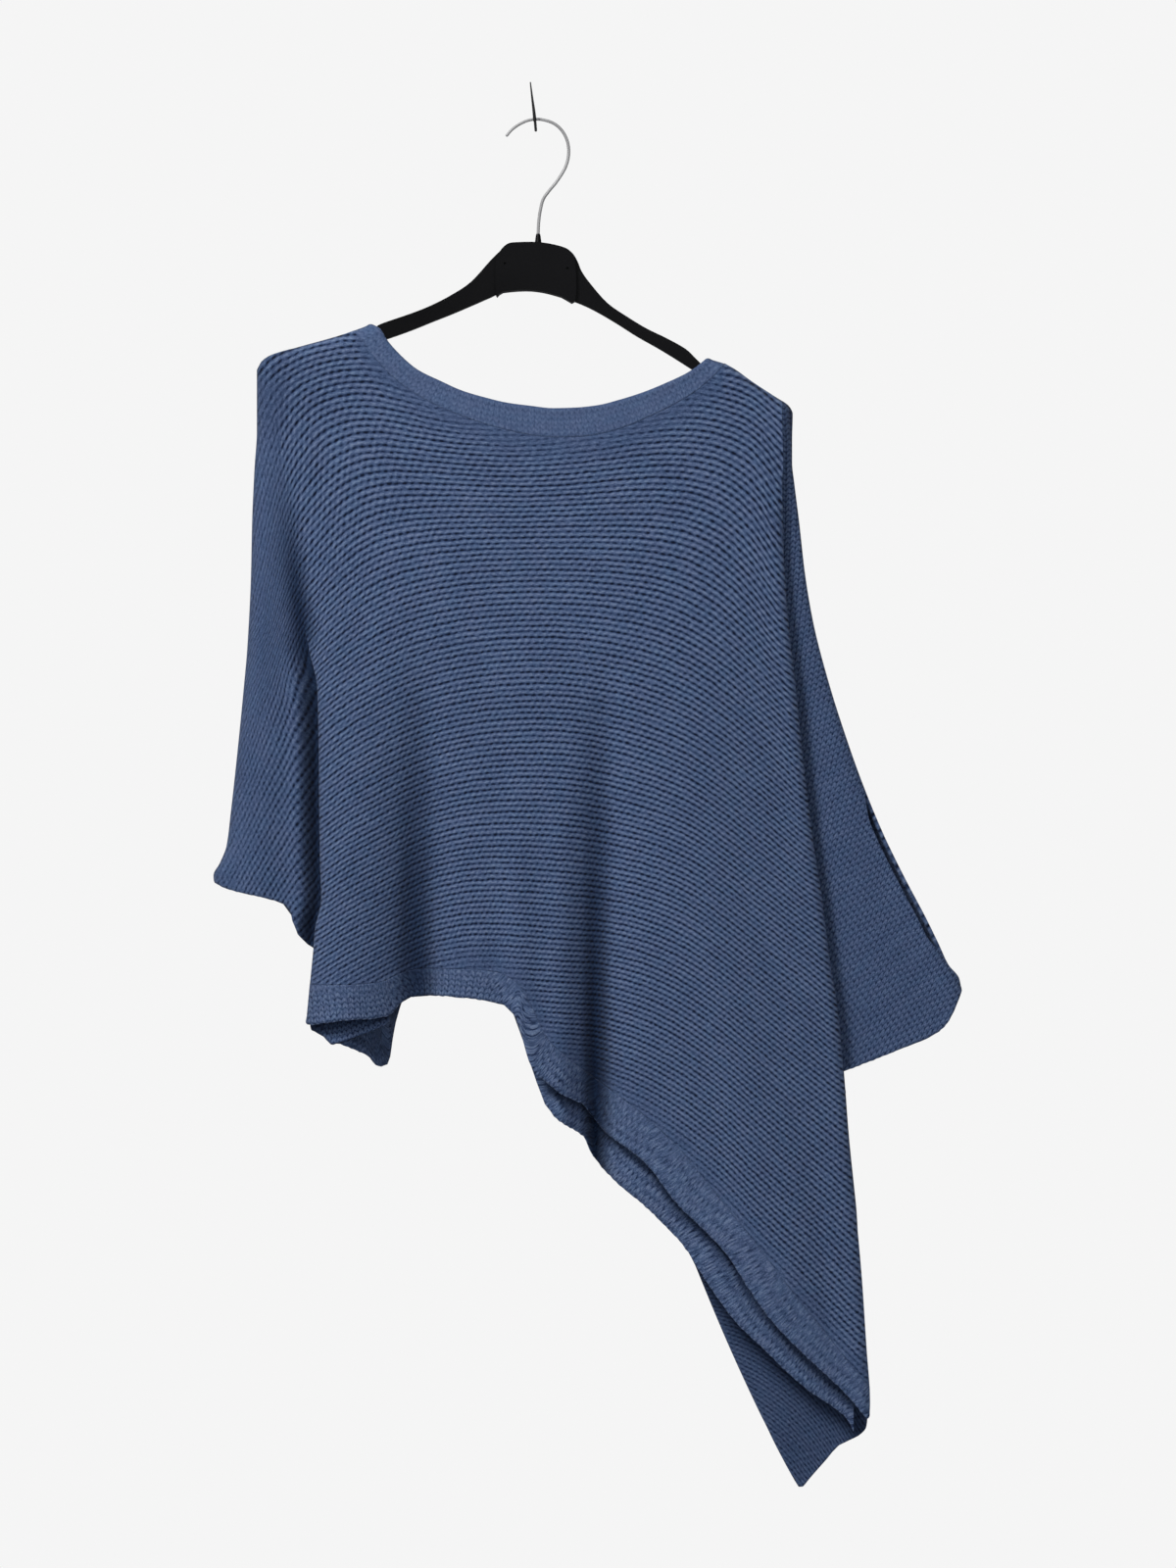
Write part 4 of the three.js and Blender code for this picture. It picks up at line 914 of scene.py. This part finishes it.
w, o = span(52, (), quarter(5, 8.0))
x, z, cut = columns_to_points(w, o, lambda q: fold_right(q) - 2.2, lambda q: out_right(q) - half,
                              [lambda q: shoulder(q) - half, lambda q: scalloped(cuff_right, 0.22)(q) + 0.6], [span(240, TOP, RIM)])
shell("right_sleeve_back", x, z, right_sleeve_back_forward, -1, body_field(x, z), ridge_relief,
      {"right": "seam", "top": "seam", "bottom": "free"}, replaces=["right_sleeve_back"])

def painted_shade_left_layers(x, z):
    """Painted shade for the lower left corner, which turns in twice: a painted shadow under the front hem that lightens
    down to the roll's edge, and below it the layer behind, painted dark.
    """
    line = -770 + (x + 164.8) * 0.34
    deep = np.maximum(hem_front(x) - line, 2.0)
    upper = mix(0.10, 1.0, smooth((hem_front(x) - z) / deep))
    lower = mix(0.06, 0.55, smooth((line - z) / 26))
    return mix(lower, upper, smooth((z - line + 1.2) / 1.6))


# ------------------------------------- what turns in behind the lower corners
w, o = span(34)
x, z, cut = columns_to_points(w, o, lambda q: fold_left(q) + 4, lambda q: mix(-172, -121.5, smooth((-652 - q) / 70)),
                              [lambda q: 0 * q - 652, scalloped(under_left_hem, 0.3)], [span(52, (), RIM)])
# Painted shade on the corner's turned-in layers, from the lower left corner function above.
shell("left_side_fold", x, z, under_left_forward, 1, band_uv(under_left_hem, x, z), face_relief,
      {"left": "free", "right": "free", "bottom": "free"}, coarse=3, replaces=["left_side_fold"],
      shade=painted_shade_left_layers(x, z))

nz_ = 170
zz = np.concatenate([np.linspace(FLAP[0][0], FLAP[-1][0] + 3, nz_), FLAP[-1][0] + np.array(RIM[::-1])])
share = span(60, RIM, RIM)
left_edge, right_edge = flap_left(zz), flap_right(zz)
room = np.minimum(1.0, (right_edge - left_edge) / 12.0)
x = mix(left_edge, right_edge, share[0][:, None]) + share[1][:, None] * room[None]
z = np.repeat(zz[None], x.shape[0], 0)



def flap_uv(x, z):
    """Rows of the flap, which run down to the right and bend further down."""
    along, down = (x - 180) * 0.93 - (z + 1000) * 0.36, -(x - 180) * 0.36 - (z + 1000) * 0.93
    return along / STITCH_LOW, (down - 0.0035 * along**2) / 6.6


# Painted shadow on the flap's outer face, just below the back's rolled hem.
shell("right_side_flap", x, z, flap_forward, 1, flap_uv(x, z), ridge_relief,
      {"left": "free", "right": "free", "bottom": "free"}, coarse=3, replaces=["right_side_flap"],
      crisp=0.75, shade=mix(0.28, 1.0, smooth((hem_back(x) - z - 1) / 26)))


# ------------------------------------------------------------------- the back
def back_body_left(z):
    return back_side_left(z) + 3 * smooth((-690 - z) / 20)


def back_body_right(z):
    return fold_right(z) - 14 * smooth((-900 - z) / 190)


w, o = span(196, RIM, RIM)
x, z, cut = columns_to_points(w, o, back_body_left, back_body_right,
                              [neck_top(band_lower, 1.6), hem_back_band, scalloped(hem_back, 0.25, 7.0)],
                              [span(330, TOP), span(18, (), RIM)])
u, v = body_field(x, z)
bu, bv = band_uv(hem_back, x, z)
d_hem = bv * FACE_HEIGHT
roll = 2.6 * np.exp(-(((d_hem - 4.5) / 3.6) ** 2))
# Painted shade: what shows of the back's inner face is darkened in the shadow of the front's hem, and left of x = -112
# as well.
behind = mix(0.30, 1.0, smooth((hem_front(x) - z - 1) * mix(1.0, 0.72, smooth((x - 60) / 60)) / 12)) * mix(0.5, 1.0, smooth((x + 112) / 10))
k = cut[1] + 1
shell("back_body", x[:, :k], z[:, :k], back_forward, -1, (u[:, :k], v[:, :k]), ridge_relief,
      {"top": "seam"}, coarse=3, replaces=["back_body"], extra=0.45 * under_band(x[:, :k], z[:, :k]) + roll[:, :k],
      inner_shade=behind[:, :k])
k -= 1
shell("back_hem_band", x[:, k:], z[:, k:], back_forward, -1, (bu[:, k:], bv[:, k:]), face_relief,
      {"bottom": "free"}, coarse=1, replaces=["back_hem_band"], extra=roll[:, k:], crisp=0.6,
      inner_shade=behind[:, k:])
neck_band("back_neck_band", back_forward, -1, -1)


# -------------------------------------------------------- node sums, in short
class Sum:
    """A number in a material, put together with + - * / as in plain maths."""

    def __init__(self, tree, socket):
        self.tree, self.socket = tree, socket

    def do(self, operation, *others):
        node = self.tree.nodes.new("ShaderNodeMath")
        node.operation = operation
        for slot, value in zip(node.inputs, (self,) + others):
            if isinstance(value, Sum):
                self.tree.links.new(value.socket, slot)
            else:
                slot.default_value = float(value)
        return Sum(self.tree, node.outputs[0])

    def __add__(self, b): return self.do("ADD", b)
    def __radd__(self, b): return self.do("ADD", b)
    def __sub__(self, b): return self.do("SUBTRACT", b)
    def __rsub__(self, b): return (self * -1) + b
    def __mul__(self, b): return self.do("MULTIPLY", b)
    def __rmul__(self, b): return self.do("MULTIPLY", b)
    def __truediv__(self, b): return self.do("DIVIDE", b)
    def __neg__(self): return self * -1
    def frac(self): return self.do("FRACT")
    def floor(self): return self.do("FLOOR")
    def abs(self): return self.do("ABSOLUTE")
    def cos(self): return self.do("COSINE")
    def exp(self): return self.do("EXPONENT")
    def sq(self): return self * self
    def above(self, b): return self.do("MAXIMUM", b)
    def below(self, b): return self.do("MINIMUM", b)


def bell(t, width):
    """1 where t is 0, falling away over that width."""
    return (-1 * (t * (1.0 / width)).sq()).exp()


def ridged(u, v, give, spot):
    """How bright and how high the ridged side is at stitch u, row v: rows of
    dark gaps between the loops, laid like bricks, with a strong row at each
    whole v and a weaker one halfway. The same number gives both the bump's
    height and the colour, so the dark gaps are painted shade in the hollows
    between the loops and the lighter strands a painted highlight on them.
    give and spot are noises about 0."""
    y0 = v * 2 + give * 0.30 + 0.5
    y = y0.frac() - 0.5
    odd = (y0.floor() * 0.5).frac() * 2
    across = u + give * 0.35 + odd * 0.5
    gap = bell((across + y * 0.30).frac() - 0.5, 0.27) * bell(y, 0.20)
    strand = bell(y.abs() - 0.5, 0.26) * (((across + y * -0.9 + 0.5) * (2 * math.pi)).cos() * 0.5 + 0.5)
    depth = 1 - odd * 0.24 + spot * 1.3
    return 0.765 - bell(y, 0.25) * depth * 0.31 - gap * depth * 0.56 + strand * 0.22


def faced(u, v, give, spot):
    """The smooth side: columns of V stitches, each leg leaning to its middle.
    The number gives both the bump's height and the colour, so the darker
    grooves between the columns and between the legs are painted shade.
    """
    s = ((u + give * 0.16).frac() - 0.5).abs() * 2            # 0 middle, 1 between columns
    leg = ((v + s * 0.55 + give * 0.3) * (2 * math.pi)).cos() * 0.5 + 0.5
    depth = 1 + spot * 1.6
    return (0.66 + leg * 0.16 - bell(1 - s, 0.24) * depth * 0.30 - bell(s, 0.13) * 0.08
            - bell(leg, 0.25) * depth * 0.24)


def noise(tree, vector, scale, detail=2.0, stretch=None, dims="3D"):
    if stretch:
        m = tree.nodes.new("ShaderNodeMapping")
        m.inputs["Scale"].default_value = stretch
        tree.links.new(vector, m.inputs["Vector"])
        vector = m.outputs["Vector"]
    n = tree.nodes.new("ShaderNodeTexNoise")
    n.noise_dimensions = dims
    n.inputs["Scale"].default_value = scale
    n.inputs["Detail"].default_value = detail
    tree.links.new(vector, n.inputs["Vector"])
    return Sum(tree, n.outputs["Fac"])


def new_material(name):
    m = bpy.data.materials.new(name)
    m.use_nodes = True
    tree = m.node_tree
    tree.nodes.clear()
    out = tree.nodes.new("ShaderNodeOutputMaterial")
    bsdf = tree.nodes.new("ShaderNodeBsdfPrincipled")
    tree.links.new(bsdf.outputs["BSDF"], out.inputs["Surface"])
    return m, tree, bsdf


def ramp(tree, value, stops):
    r = tree.nodes.new("ShaderNodeValToRGB")
    r.color_ramp.interpolation = "LINEAR"
    while len(r.color_ramp.elements) < len(stops):
        r.color_ramp.elements.new(0.5)
    for e, (at, colour) in zip(r.color_ramp.elements, stops):
        e.position = at
        e.color = (*colour, 1)
    tree.links.new(value.socket, r.inputs["Fac"])
    return r.outputs["Color"]


YARN = [(0.0, (0.0040, 0.0090, 0.028)), (0.30, (0.0165, 0.032, 0.086)), (0.62, (0.073, 0.113, 0.234)),
        (0.85, (0.134, 0.189, 0.346)), (1.0, (0.213, 0.277, 0.448))]


def knit_material(name, pattern, contrast=1.0, level=0.0, bump=1.0, tint=1.0, fuzz=1.0, fibres=(1.9, 5.0, 0.0)):
    m, tree, bsdf = new_material(name)
    a = tree.nodes.new("ShaderNodeAttribute")
    a.attribute_name = "knit"
    split = tree.nodes.new("ShaderNodeSeparateXYZ")
    tree.links.new(a.outputs["Vector"], split.inputs[0])
    u, v, crisp = (Sum(tree, split.outputs[k]) for k in range(3))
    give = noise(tree, a.outputs["Vector"], 1.0, 1.0, (0.55, 1.1, 0.0)) - 0.5
    spot = noise(tree, a.outputs["Vector"], 1.0, 0.0, (1.1, 2.3, 0.0)) - 0.5
    fibre = noise(tree, a.outputs["Vector"], 1.0, 2.0, fibres) - 0.5
    fluff = noise(tree, a.outputs["Vector"], 1.0, 1.0, (6.5, 11.0, 0.0)) - 0.5
    tone = pattern(u, v, give, spot)
    blotch = noise(tree, a.outputs["Vector"], 1.0, 2.0, (0.16, 0.32, 0.0)) - 0.5
    value = ((tone - 0.62) * crisp * contrast + 0.62 + level + blotch * 0.16 + spot * 0.12
             + fibre * 0.75 * fuzz + fluff * 0.60 * fuzz)
    colour = ramp(tree, value, [(at, tuple(c * tint for c in rgb)) for at, rgb in YARN])
    hue = noise(tree, a.outputs["Vector"], 1.0, 2.0, (0.35, 0.6, 1.0))
    shift = tree.nodes.new("ShaderNodeMix")
    shift.data_type = "RGBA"
    shift.blend_type = "MULTIPLY"
    tree.links.new(((hue - 0.35) * 1.6).above(0).below(1).socket, shift.inputs["Factor"])
    tree.links.new(colour, shift.inputs[6])
    shift.inputs[7].default_value = (0.86, 1.02, 1.03, 1)
    # Painted shade: the yarn's colour is multiplied by the per-point shade attribute, through a ramp that makes the
    # shaded parts darker and bluer.
    painted_shade_attribute = tree.nodes.new("ShaderNodeAttribute")
    painted_shade_attribute.attribute_name = "shade"
    deep = tree.nodes.new("ShaderNodeMix")
    deep.data_type = "RGBA"
    deep.blend_type = "MULTIPLY"
    deep.inputs["Factor"].default_value = 1.0
    tree.links.new(shift.outputs[2], deep.inputs[6])
    tree.links.new(ramp(tree, Sum(tree, painted_shade_attribute.outputs["Fac"]), [(0.0, (0.065, 0.13, 0.20)), (1.0, (1, 1, 1))]), deep.inputs[7])
    tree.links.new(deep.outputs[2], bsdf.inputs["Base Color"])
    bsdf.inputs["Roughness"].default_value = 0.92
    bsdf.inputs["Specular IOR Level"].default_value = 0.15
    bsdf.inputs["Sheen Weight"].default_value = 0.08
    bsdf.inputs["Sheen Roughness"].default_value = 0.5
    b = tree.nodes.new("ShaderNodeBump")
    b.inputs["Strength"].default_value = 0.7
    b.inputs["Distance"].default_value = bump * MM
    tree.links.new(value.socket, b.inputs["Height"])
    tree.links.new(b.outputs["Normal"], bsdf.inputs["Normal"])
    return m


ridge_side = knit_material("knit ridged side", ridged)
face_side = knit_material("knit smooth side", faced, contrast=0.85, level=0.01, tint=1.03, fuzz=1.15)
band_side = knit_material("knit band", faced, contrast=0.80, level=0.09, fuzz=1.45, fibres=(3.0, 1.3, 0.0))
neck_side = knit_material("knit neck band", faced, contrast=0.60, level=0.10, fuzz=0.8, fibres=(3.4, 1.2, 0.0))
# The flap's yarn is painted darker overall (tint 0.80, level -0.03) for the shade it lies in behind the front.
flap_side_painted_darker = knit_material("knit ridged side in the flap, painted darker for shade", ridged, contrast=0.66, level=-0.03, tint=0.80)
back_of_face = knit_material("knit inside of the smooth pieces", ridged, tint=0.8)

# The outer face of each piece and, on its inside, the other side of the knit.
MATERIALS = {"front_body": (ridge_side, face_side), "back_body": (ridge_side, face_side),
             "left_sleeve_front": (ridge_side, face_side), "left_sleeve_back": (ridge_side, face_side),
             "right_sleeve_back": (ridge_side, face_side), "right_sleeve_front": (face_side, back_of_face),
             "front_neck_band": (neck_side, neck_side), "back_neck_band": (neck_side, neck_side),
             "left_side_fold": (face_side, back_of_face), "right_side_flap": (flap_side_painted_darker, face_side)}
for name, piece in PIECES.items():
    outer, inside = MATERIALS.get(name, (band_side, band_side))
    mesh = piece["object"].data
    mesh.materials.append(outer)
    mesh.materials.append(inside)
    index = np.zeros(len(mesh.polygons), np.int32)
    index[piece["outer_faces"]:piece["outer_faces"] + piece["inner_faces"]] = 1
    mesh.polygons.foreach_set("material_index", index)


# ----------------------------------------------------------------- the hanger
def black_plastic(name, rough):
    m, tree, bsdf = new_material(name)
    c = tree.nodes.new("ShaderNodeTexCoord")
    grain = noise(tree, c.outputs["Object"], 900.0, 2.0)
    cloud = noise(tree, c.outputs["Object"], 14.0, 2.0)
    colour = ramp(tree, cloud, [(0.3, (0.0016, 0.0016, 0.0024)), (0.7, (0.0036, 0.0036, 0.0048))])
    tree.links.new(colour, bsdf.inputs["Base Color"])
    bsdf.inputs["Specular IOR Level"].default_value = 0.16
    tree.links.new((cloud * 0.12 + grain * 0.08 + (rough - 0.1)).socket, bsdf.inputs["Roughness"])
    b = tree.nodes.new("ShaderNodeBump")
    b.inputs["Strength"].default_value = 0.12
    b.inputs["Distance"].default_value = 0.2 * MM
    tree.links.new(grain.socket, b.inputs["Height"])
    tree.links.new(b.outputs["Normal"], bsdf.inputs["Normal"])
    return m


def wire_metal(name, colour, metallic, rough, bright):
    m, tree, bsdf = new_material(name)
    c = tree.nodes.new("ShaderNodeTexCoord")
    streak = noise(tree, c.outputs["Object"], 260.0, 3.0)
    cloud = noise(tree, c.outputs["Object"], 40.0, 3.0)
    colours = ramp(tree, cloud, [(0.3, tuple(q * 0.8 for q in colour)), (0.7, tuple(q * bright for q in colour))])
    tree.links.new(colours, bsdf.inputs["Base Color"])
    bsdf.inputs["Metallic"].default_value = metallic
    tree.links.new((streak * 0.16 + (rough - 0.08)).socket, bsdf.inputs["Roughness"])
    b = tree.nodes.new("ShaderNodeBump")
    b.inputs["Strength"].default_value = 0.15
    b.inputs["Distance"].default_value = 0.1 * MM
    tree.links.new(streak.socket, b.inputs["Height"])
    tree.links.new(b.outputs["Normal"], bsdf.inputs["Normal"])
    return m


plastic = black_plastic("black moulded plastic", 0.40)
chrome = wire_metal("bright plated wire", (0.50, 0.50, 0.51), 0.25, 0.50, 1.1)
iron = wire_metal("dark iron", (0.022, 0.022, 0.024), 0.4, 0.5, 1.3)


def outline_curve(points, per=4):
    """A closed outline with points added along a curve through its corners."""
    p = np.array(points, float)
    n = len(p)
    out = []
    for i in range(n):
        a, b, c, d = p[i - 1], p[i], p[(i + 1) % n], p[(i + 2) % n]
        for k in range(per):
            t = k / per
            out.append(0.5 * ((2 * b) + (c - a) * t + (2 * a - 5 * b + 4 * c - d) * t * t + (3 * b - a - 3 * c + d) * t**3))
    return np.array(out)


def prism(name, outline, thick):
    """A closed plate with an outline in X, Z, about the hanger's middle plane."""
    bm = bmesh.new()
    front = [bm.verts.new(Vector((x, HANGER_Y - thick / 2, z)) * MM) for x, z in outline]
    rear = [bm.verts.new(Vector((x, HANGER_Y + thick / 2, z)) * MM) for x, z in outline]
    bm.faces.new(front)
    bm.faces.new(rear[::-1])
    n = len(front)
    for i in range(n):
        bm.faces.new([front[i], rear[i], rear[(i + 1) % n], front[(i + 1) % n]][::-1])
    bmesh.ops.recalc_face_normals(bm, faces=bm.faces)
    mesh = bpy.data.meshes.new(name)
    bm.to_mesh(mesh)
    bm.free()
    obj = bpy.data.objects.new(name, mesh)
    bpy.context.scene.collection.objects.link(obj)
    return obj


def evaluated(obj):
    """Bakes an object's modifiers into its mesh."""
    deps = bpy.context.evaluated_depsgraph_get()
    mesh = bpy.data.meshes.new_from_object(obj.evaluated_get(deps))
    obj.modifiers.clear()
    old, obj.data = obj.data, mesh
    bpy.data.meshes.remove(old)
    return obj


def cut_with(obj, tool, operation):
    mod = obj.modifiers.new("cut", "BOOLEAN")
    mod.operation = operation
    mod.solver = "EXACT"
    mod.object = tool
    evaluated(obj)
    old = tool.data
    bpy.data.objects.remove(tool)
    bpy.data.meshes.remove(old)
    return obj


hanger_body = prism("hanger_moulding", outline_curve(HANGER_OUTLINE, 4), 7.0)
cut_with(hanger_body, prism("block", outline_curve(BLOCK_OUTLINE, 3), 14.0), "UNION")
for dx, dz in ((-25.4, -118.9), (27.0, -123.0)):
    ring = [(dx + 1.15 * math.cos(2 * math.pi * k / 20), dz + 1.15 * math.sin(2 * math.pi * k / 20)) for k in range(20)]
    pin = prism("dimple", ring, 3.0)
    pin.data.transform(Matrix.Translation((0, -7.0 * MM, 0)))
    cut_with(hanger_body, pin, "DIFFERENCE")
mod = hanger_body.modifiers.new("edges", "BEVEL")
mod.width, mod.segments, mod.limit_method, mod.angle_limit = 1.5 * MM, 4, "ANGLE", math.radians(50)
mod.harden_normals = False
evaluated(hanger_body)
for p in hanger_body.data.polygons:
    p.use_smooth = True
mod = hanger_body.modifiers.new("shading", "WEIGHTED_NORMAL")
mod.keep_sharp = True


def smooth_path(points, per):
    """Points along a curve through a path, evenly spaced in length."""
    p = np.array(points, float)
    seg = np.concatenate([[0], np.cumsum(np.sqrt(np.linalg.norm(np.diff(p, axis=0), axis=1)))])
    ends = np.concatenate([[2 * p[0] - p[1]], p, [2 * p[-1] - p[-2]]])
    knots = np.concatenate([[2 * seg[0] - seg[1]], seg, [2 * seg[-1] - seg[-2]]])
    out = []
    for i in range(1, len(ends) - 2):
        p0, p1, p2, p3 = ends[i - 1:i + 3]
        t0, t1, t2, t3 = knots[i - 1:i + 3]
        for t in np.linspace(t1, t2, 24, endpoint=False):
            a1 = (t1 - t) / (t1 - t0) * p0 + (t - t0) / (t1 - t0) * p1
            a2 = (t2 - t) / (t2 - t1) * p1 + (t - t1) / (t2 - t1) * p2
            a3 = (t3 - t) / (t3 - t2) * p2 + (t - t2) / (t3 - t2) * p3
            b1 = (t2 - t) / (t2 - t0) * a1 + (t - t0) / (t2 - t0) * a2
            b2 = (t3 - t) / (t3 - t1) * a2 + (t - t1) / (t3 - t1) * a3
            out.append((t2 - t) / (t2 - t1) * b1 + (t - t1) / (t2 - t1) * b2)
    out.append(p[-1])
    out = np.array(out)
    s = np.concatenate([[0], np.cumsum(np.linalg.norm(np.diff(out, axis=0), axis=1))])
    at = np.linspace(0, s[-1], per)
    return np.stack([np.interp(at, s, out[:, k]) for k in range(3)], 1), at


def rod(name, path, radius, sides=20, n=160):
    """A closed round bar along a path. radius gives its radius from the share
    of the way along and the distances from both ends."""
    pts, s = smooth_path(path, n)
    cap = [0.0, 0.06, 0.16, 0.32, 0.55, 0.85]
    extra = lambda r: np.array(cap) * r
    r_a, r_b = radius(0.0), radius(1.0)
    grid = np.unique(np.concatenate([extra(r_a), s[(s > r_a) & (s < s[-1] - r_b)], s[-1] - extra(r_b), [r_a, s[-1] - r_b]]))
    p = np.stack([np.interp(grid, s, pts[:, k]) for k in range(3)], 1)
    tangent = np.gradient(p, axis=0)
    tangent /= np.linalg.norm(tangent, axis=1, keepdims=True)
    side = np.cross(tangent[0], [0.0, 1.0, 0.0])
    if np.linalg.norm(side) < 0.2:
        side = np.cross(tangent[0], [1.0, 0.0, 0.0])
    side /= np.linalg.norm(side)
    bm = bmesh.new()
    rings = []
    for k in range(len(p)):
        side = side - tangent[k] * np.dot(side, tangent[k])
        side /= np.linalg.norm(side)
        other = np.cross(tangent[k], side)
        share = grid[k] / s[-1]
        r = radius(share)
        for d in (grid[k], s[-1] - grid[k]):
            if d < r:
                r = r * math.sqrt(max(0.0, 1 - (1 - d / r) ** 2)) + 0.02
        rings.append([bm.verts.new(Vector(p[k] + r * (math.cos(a) * side + math.sin(a) * other)) * MM)
                      for a in np.linspace(0, 2 * math.pi, sides, endpoint=False)])
    for a, b in zip(rings, rings[1:]):
        for i in range(sides):
            bm.faces.new([a[i], a[(i + 1) % sides], b[(i + 1) % sides], b[i]])
    bm.faces.new(rings[0][::-1])
    bm.faces.new(rings[-1])
    bmesh.ops.recalc_face_normals(bm, faces=bm.faces)
    mesh = bpy.data.meshes.new(name)
    bm.to_mesh(mesh)
    bm.free()
    for f in mesh.polygons:
        f.use_smooth = True
    obj = bpy.data.objects.new(name, mesh)
    bpy.context.scene.collection.objects.link(obj)
    return obj


hook = rod("hook_wire", [(x, HANGER_Y, z) for x, z in HOOK_PATH],
           lambda t: 1.15 + 0.15 * math.sin(min(t, 0.5) * math.pi), n=220)
pin = rod("wall_hook_wire", PIN_PATH, lambda t: 1.15 if t < 0.62 else mix(1.5, 0.5, (t - 0.62) / 0.38), n=110)


def lathe(name, profile, at, sides=28):
    """A closed turned piece, upright: profile is radius, height, out and back."""
    bm = bmesh.new()
    rings = [[bm.verts.new(Vector((at[0] + r * math.cos(a), at[1] + r * math.sin(a), at[2] + h)) * MM)
              for a in np.linspace(0, 2 * math.pi, sides, endpoint=False)] for r, h in profile]
    for a, b in zip(rings, rings[1:] + rings[:1]):
        for i in range(sides):
            bm.faces.new([a[i], a[(i + 1) % sides], b[(i + 1) % sides], b[i]])
    bmesh.ops.recalc_face_normals(bm, faces=bm.faces)
    mesh = bpy.data.meshes.new(name)
    bm.to_mesh(mesh)
    bm.free()
    for f in mesh.polygons:
        f.use_smooth = True
    obj = bpy.data.objects.new(name, mesh)
    bpy.context.scene.collection.objects.link(obj)
    return obj


collar = lathe("hook_collar", [(1.5, 0.2), (2.9, 0.2), (2.75, 0.8), (2.45, 3.0), (2.1, 5.6), (1.8, 7.2), (1.6, 7.7), (1.45, 7.6)],
               (2.5, HANGER_Y, -101.0))
for obj, node, slot, material in ((hanger_body, "hanger_body", "hanger_plastic", plastic),
                                  (collar, "hanger_collar", "hanger_plastic", plastic),
                                  (hook, "hanger_hook", "hook_wire", chrome), (pin, "wall_hook", "wall_hook_iron", iron)):
    obj.data.materials.clear()
    obj.data.materials.append(material)
    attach(obj, "root")
    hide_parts(node)

# ------------------------------------------------------------- the cut pieces
# The area of each piece's middle surface as hung, in square metres, and its number of faces.
for name, piece in PIECES.items():
    print("sheet", name, round(piece["area"], 4), "faces", piece["faces"])

# ------------------------------------------------------- light, camera, stage
scene = bpy.context.scene
scene.view_settings.view_transform = "Standard"
scene.view_settings.look = "None"
world = bpy.data.worlds.new("studio")
scene.world = world
world.use_nodes = True
wt = world.node_tree
wt.nodes.clear()
w_out = wt.nodes.new("ShaderNodeOutputWorld")
seen, fill = wt.nodes.new("ShaderNodeBackground"), wt.nodes.new("ShaderNodeBackground")
seen.inputs["Color"].default_value = (0.914, 0.914, 0.914, 1)
path = wt.nodes.new("ShaderNodeLightPath")
mixer = wt.nodes.new("ShaderNodeMixShader")
coord = wt.nodes.new("ShaderNodeTexCoord")
axes = wt.nodes.new("ShaderNodeSeparateXYZ")
wt.links.new(coord.outputs["Generated"], axes.inputs[0])
up = Sum(wt, axes.outputs[2])
wt.links.new((up * 0.08 + 0.155).socket, fill.inputs["Strength"])
fill.inputs["Color"].default_value = (0.95, 0.975, 1.0, 1)
wt.links.new(path.outputs["Is Camera Ray"], mixer.inputs[0])
wt.links.new(fill.outputs[0], mixer.inputs[1])
wt.links.new(seen.outputs[0], mixer.inputs[2])
wt.links.new(mixer.outputs[0], w_out.inputs["Surface"])


def area_light(name, at, target, size, watts, colour):
    data = bpy.data.lights.new(name, "AREA")
    data.shape = "RECTANGLE"
    data.size, data.size_y = size
    data.energy = watts
    data.color = colour
    obj = bpy.data.objects.new(name, data)
    obj.location = at
    obj.rotation_euler = (Vector(target) - Vector(at)).to_track_quat("-Z", "Y").to_euler()
    scene.collection.objects.link(obj)
    return obj


area_light("key", (-1.35, -2.0, 1.75), (0.02, 0, -0.55), (0.9, 0.9), 64, (1.0, 0.99, 0.975))
area_light("rear", (0.9, 3.2, 1.0), (0.05, 0, -0.6), (1.6, 1.6), 26, (0.98, 0.99, 1.0))
area_light("front", (0.9, -3.2, 0.5), (0.05, 0, -0.6), (1.6, 1.6), 8, (0.98, 0.99, 1.0))

D = 4.0
camera = bpy.data.cameras.new("camera")
camera.sensor_fit = "AUTO"
camera.sensor_width = 36
camera.lens = 36 * D / 1.312
camera.clip_start, camera.clip_end = 0.1, 30
rig = bpy.data.objects.new("camera", camera)
rig.location = (0.0443, -(D + 0.06), -0.555)
rig.rotation_euler = (math.pi / 2, 0, 0)
scene.collection.objects.link(rig)
scene.camera = rig

bpy.ops.mesh.primitive_grid_add(x_subdivisions=8, y_subdivisions=8, size=1)
floor = bpy.context.object
floor.name = "floor"
floor.scale = (3.2, 2.4, 1)
floor.location = (0.05, -0.9, -1.30)
m, tree, bsdf = new_material("pale floor")
c = tree.nodes.new("ShaderNodeTexCoord")
tree.links.new(ramp(tree, noise(tree, c.outputs["Object"], 30.0, 3.0), [(0.2, (0.80, 0.80, 0.80)), (0.8, (0.84, 0.84, 0.84))]),
               bsdf.inputs["Base Color"])
bsdf.inputs["Roughness"].default_value = 0.8
floor.data.materials.append(m)
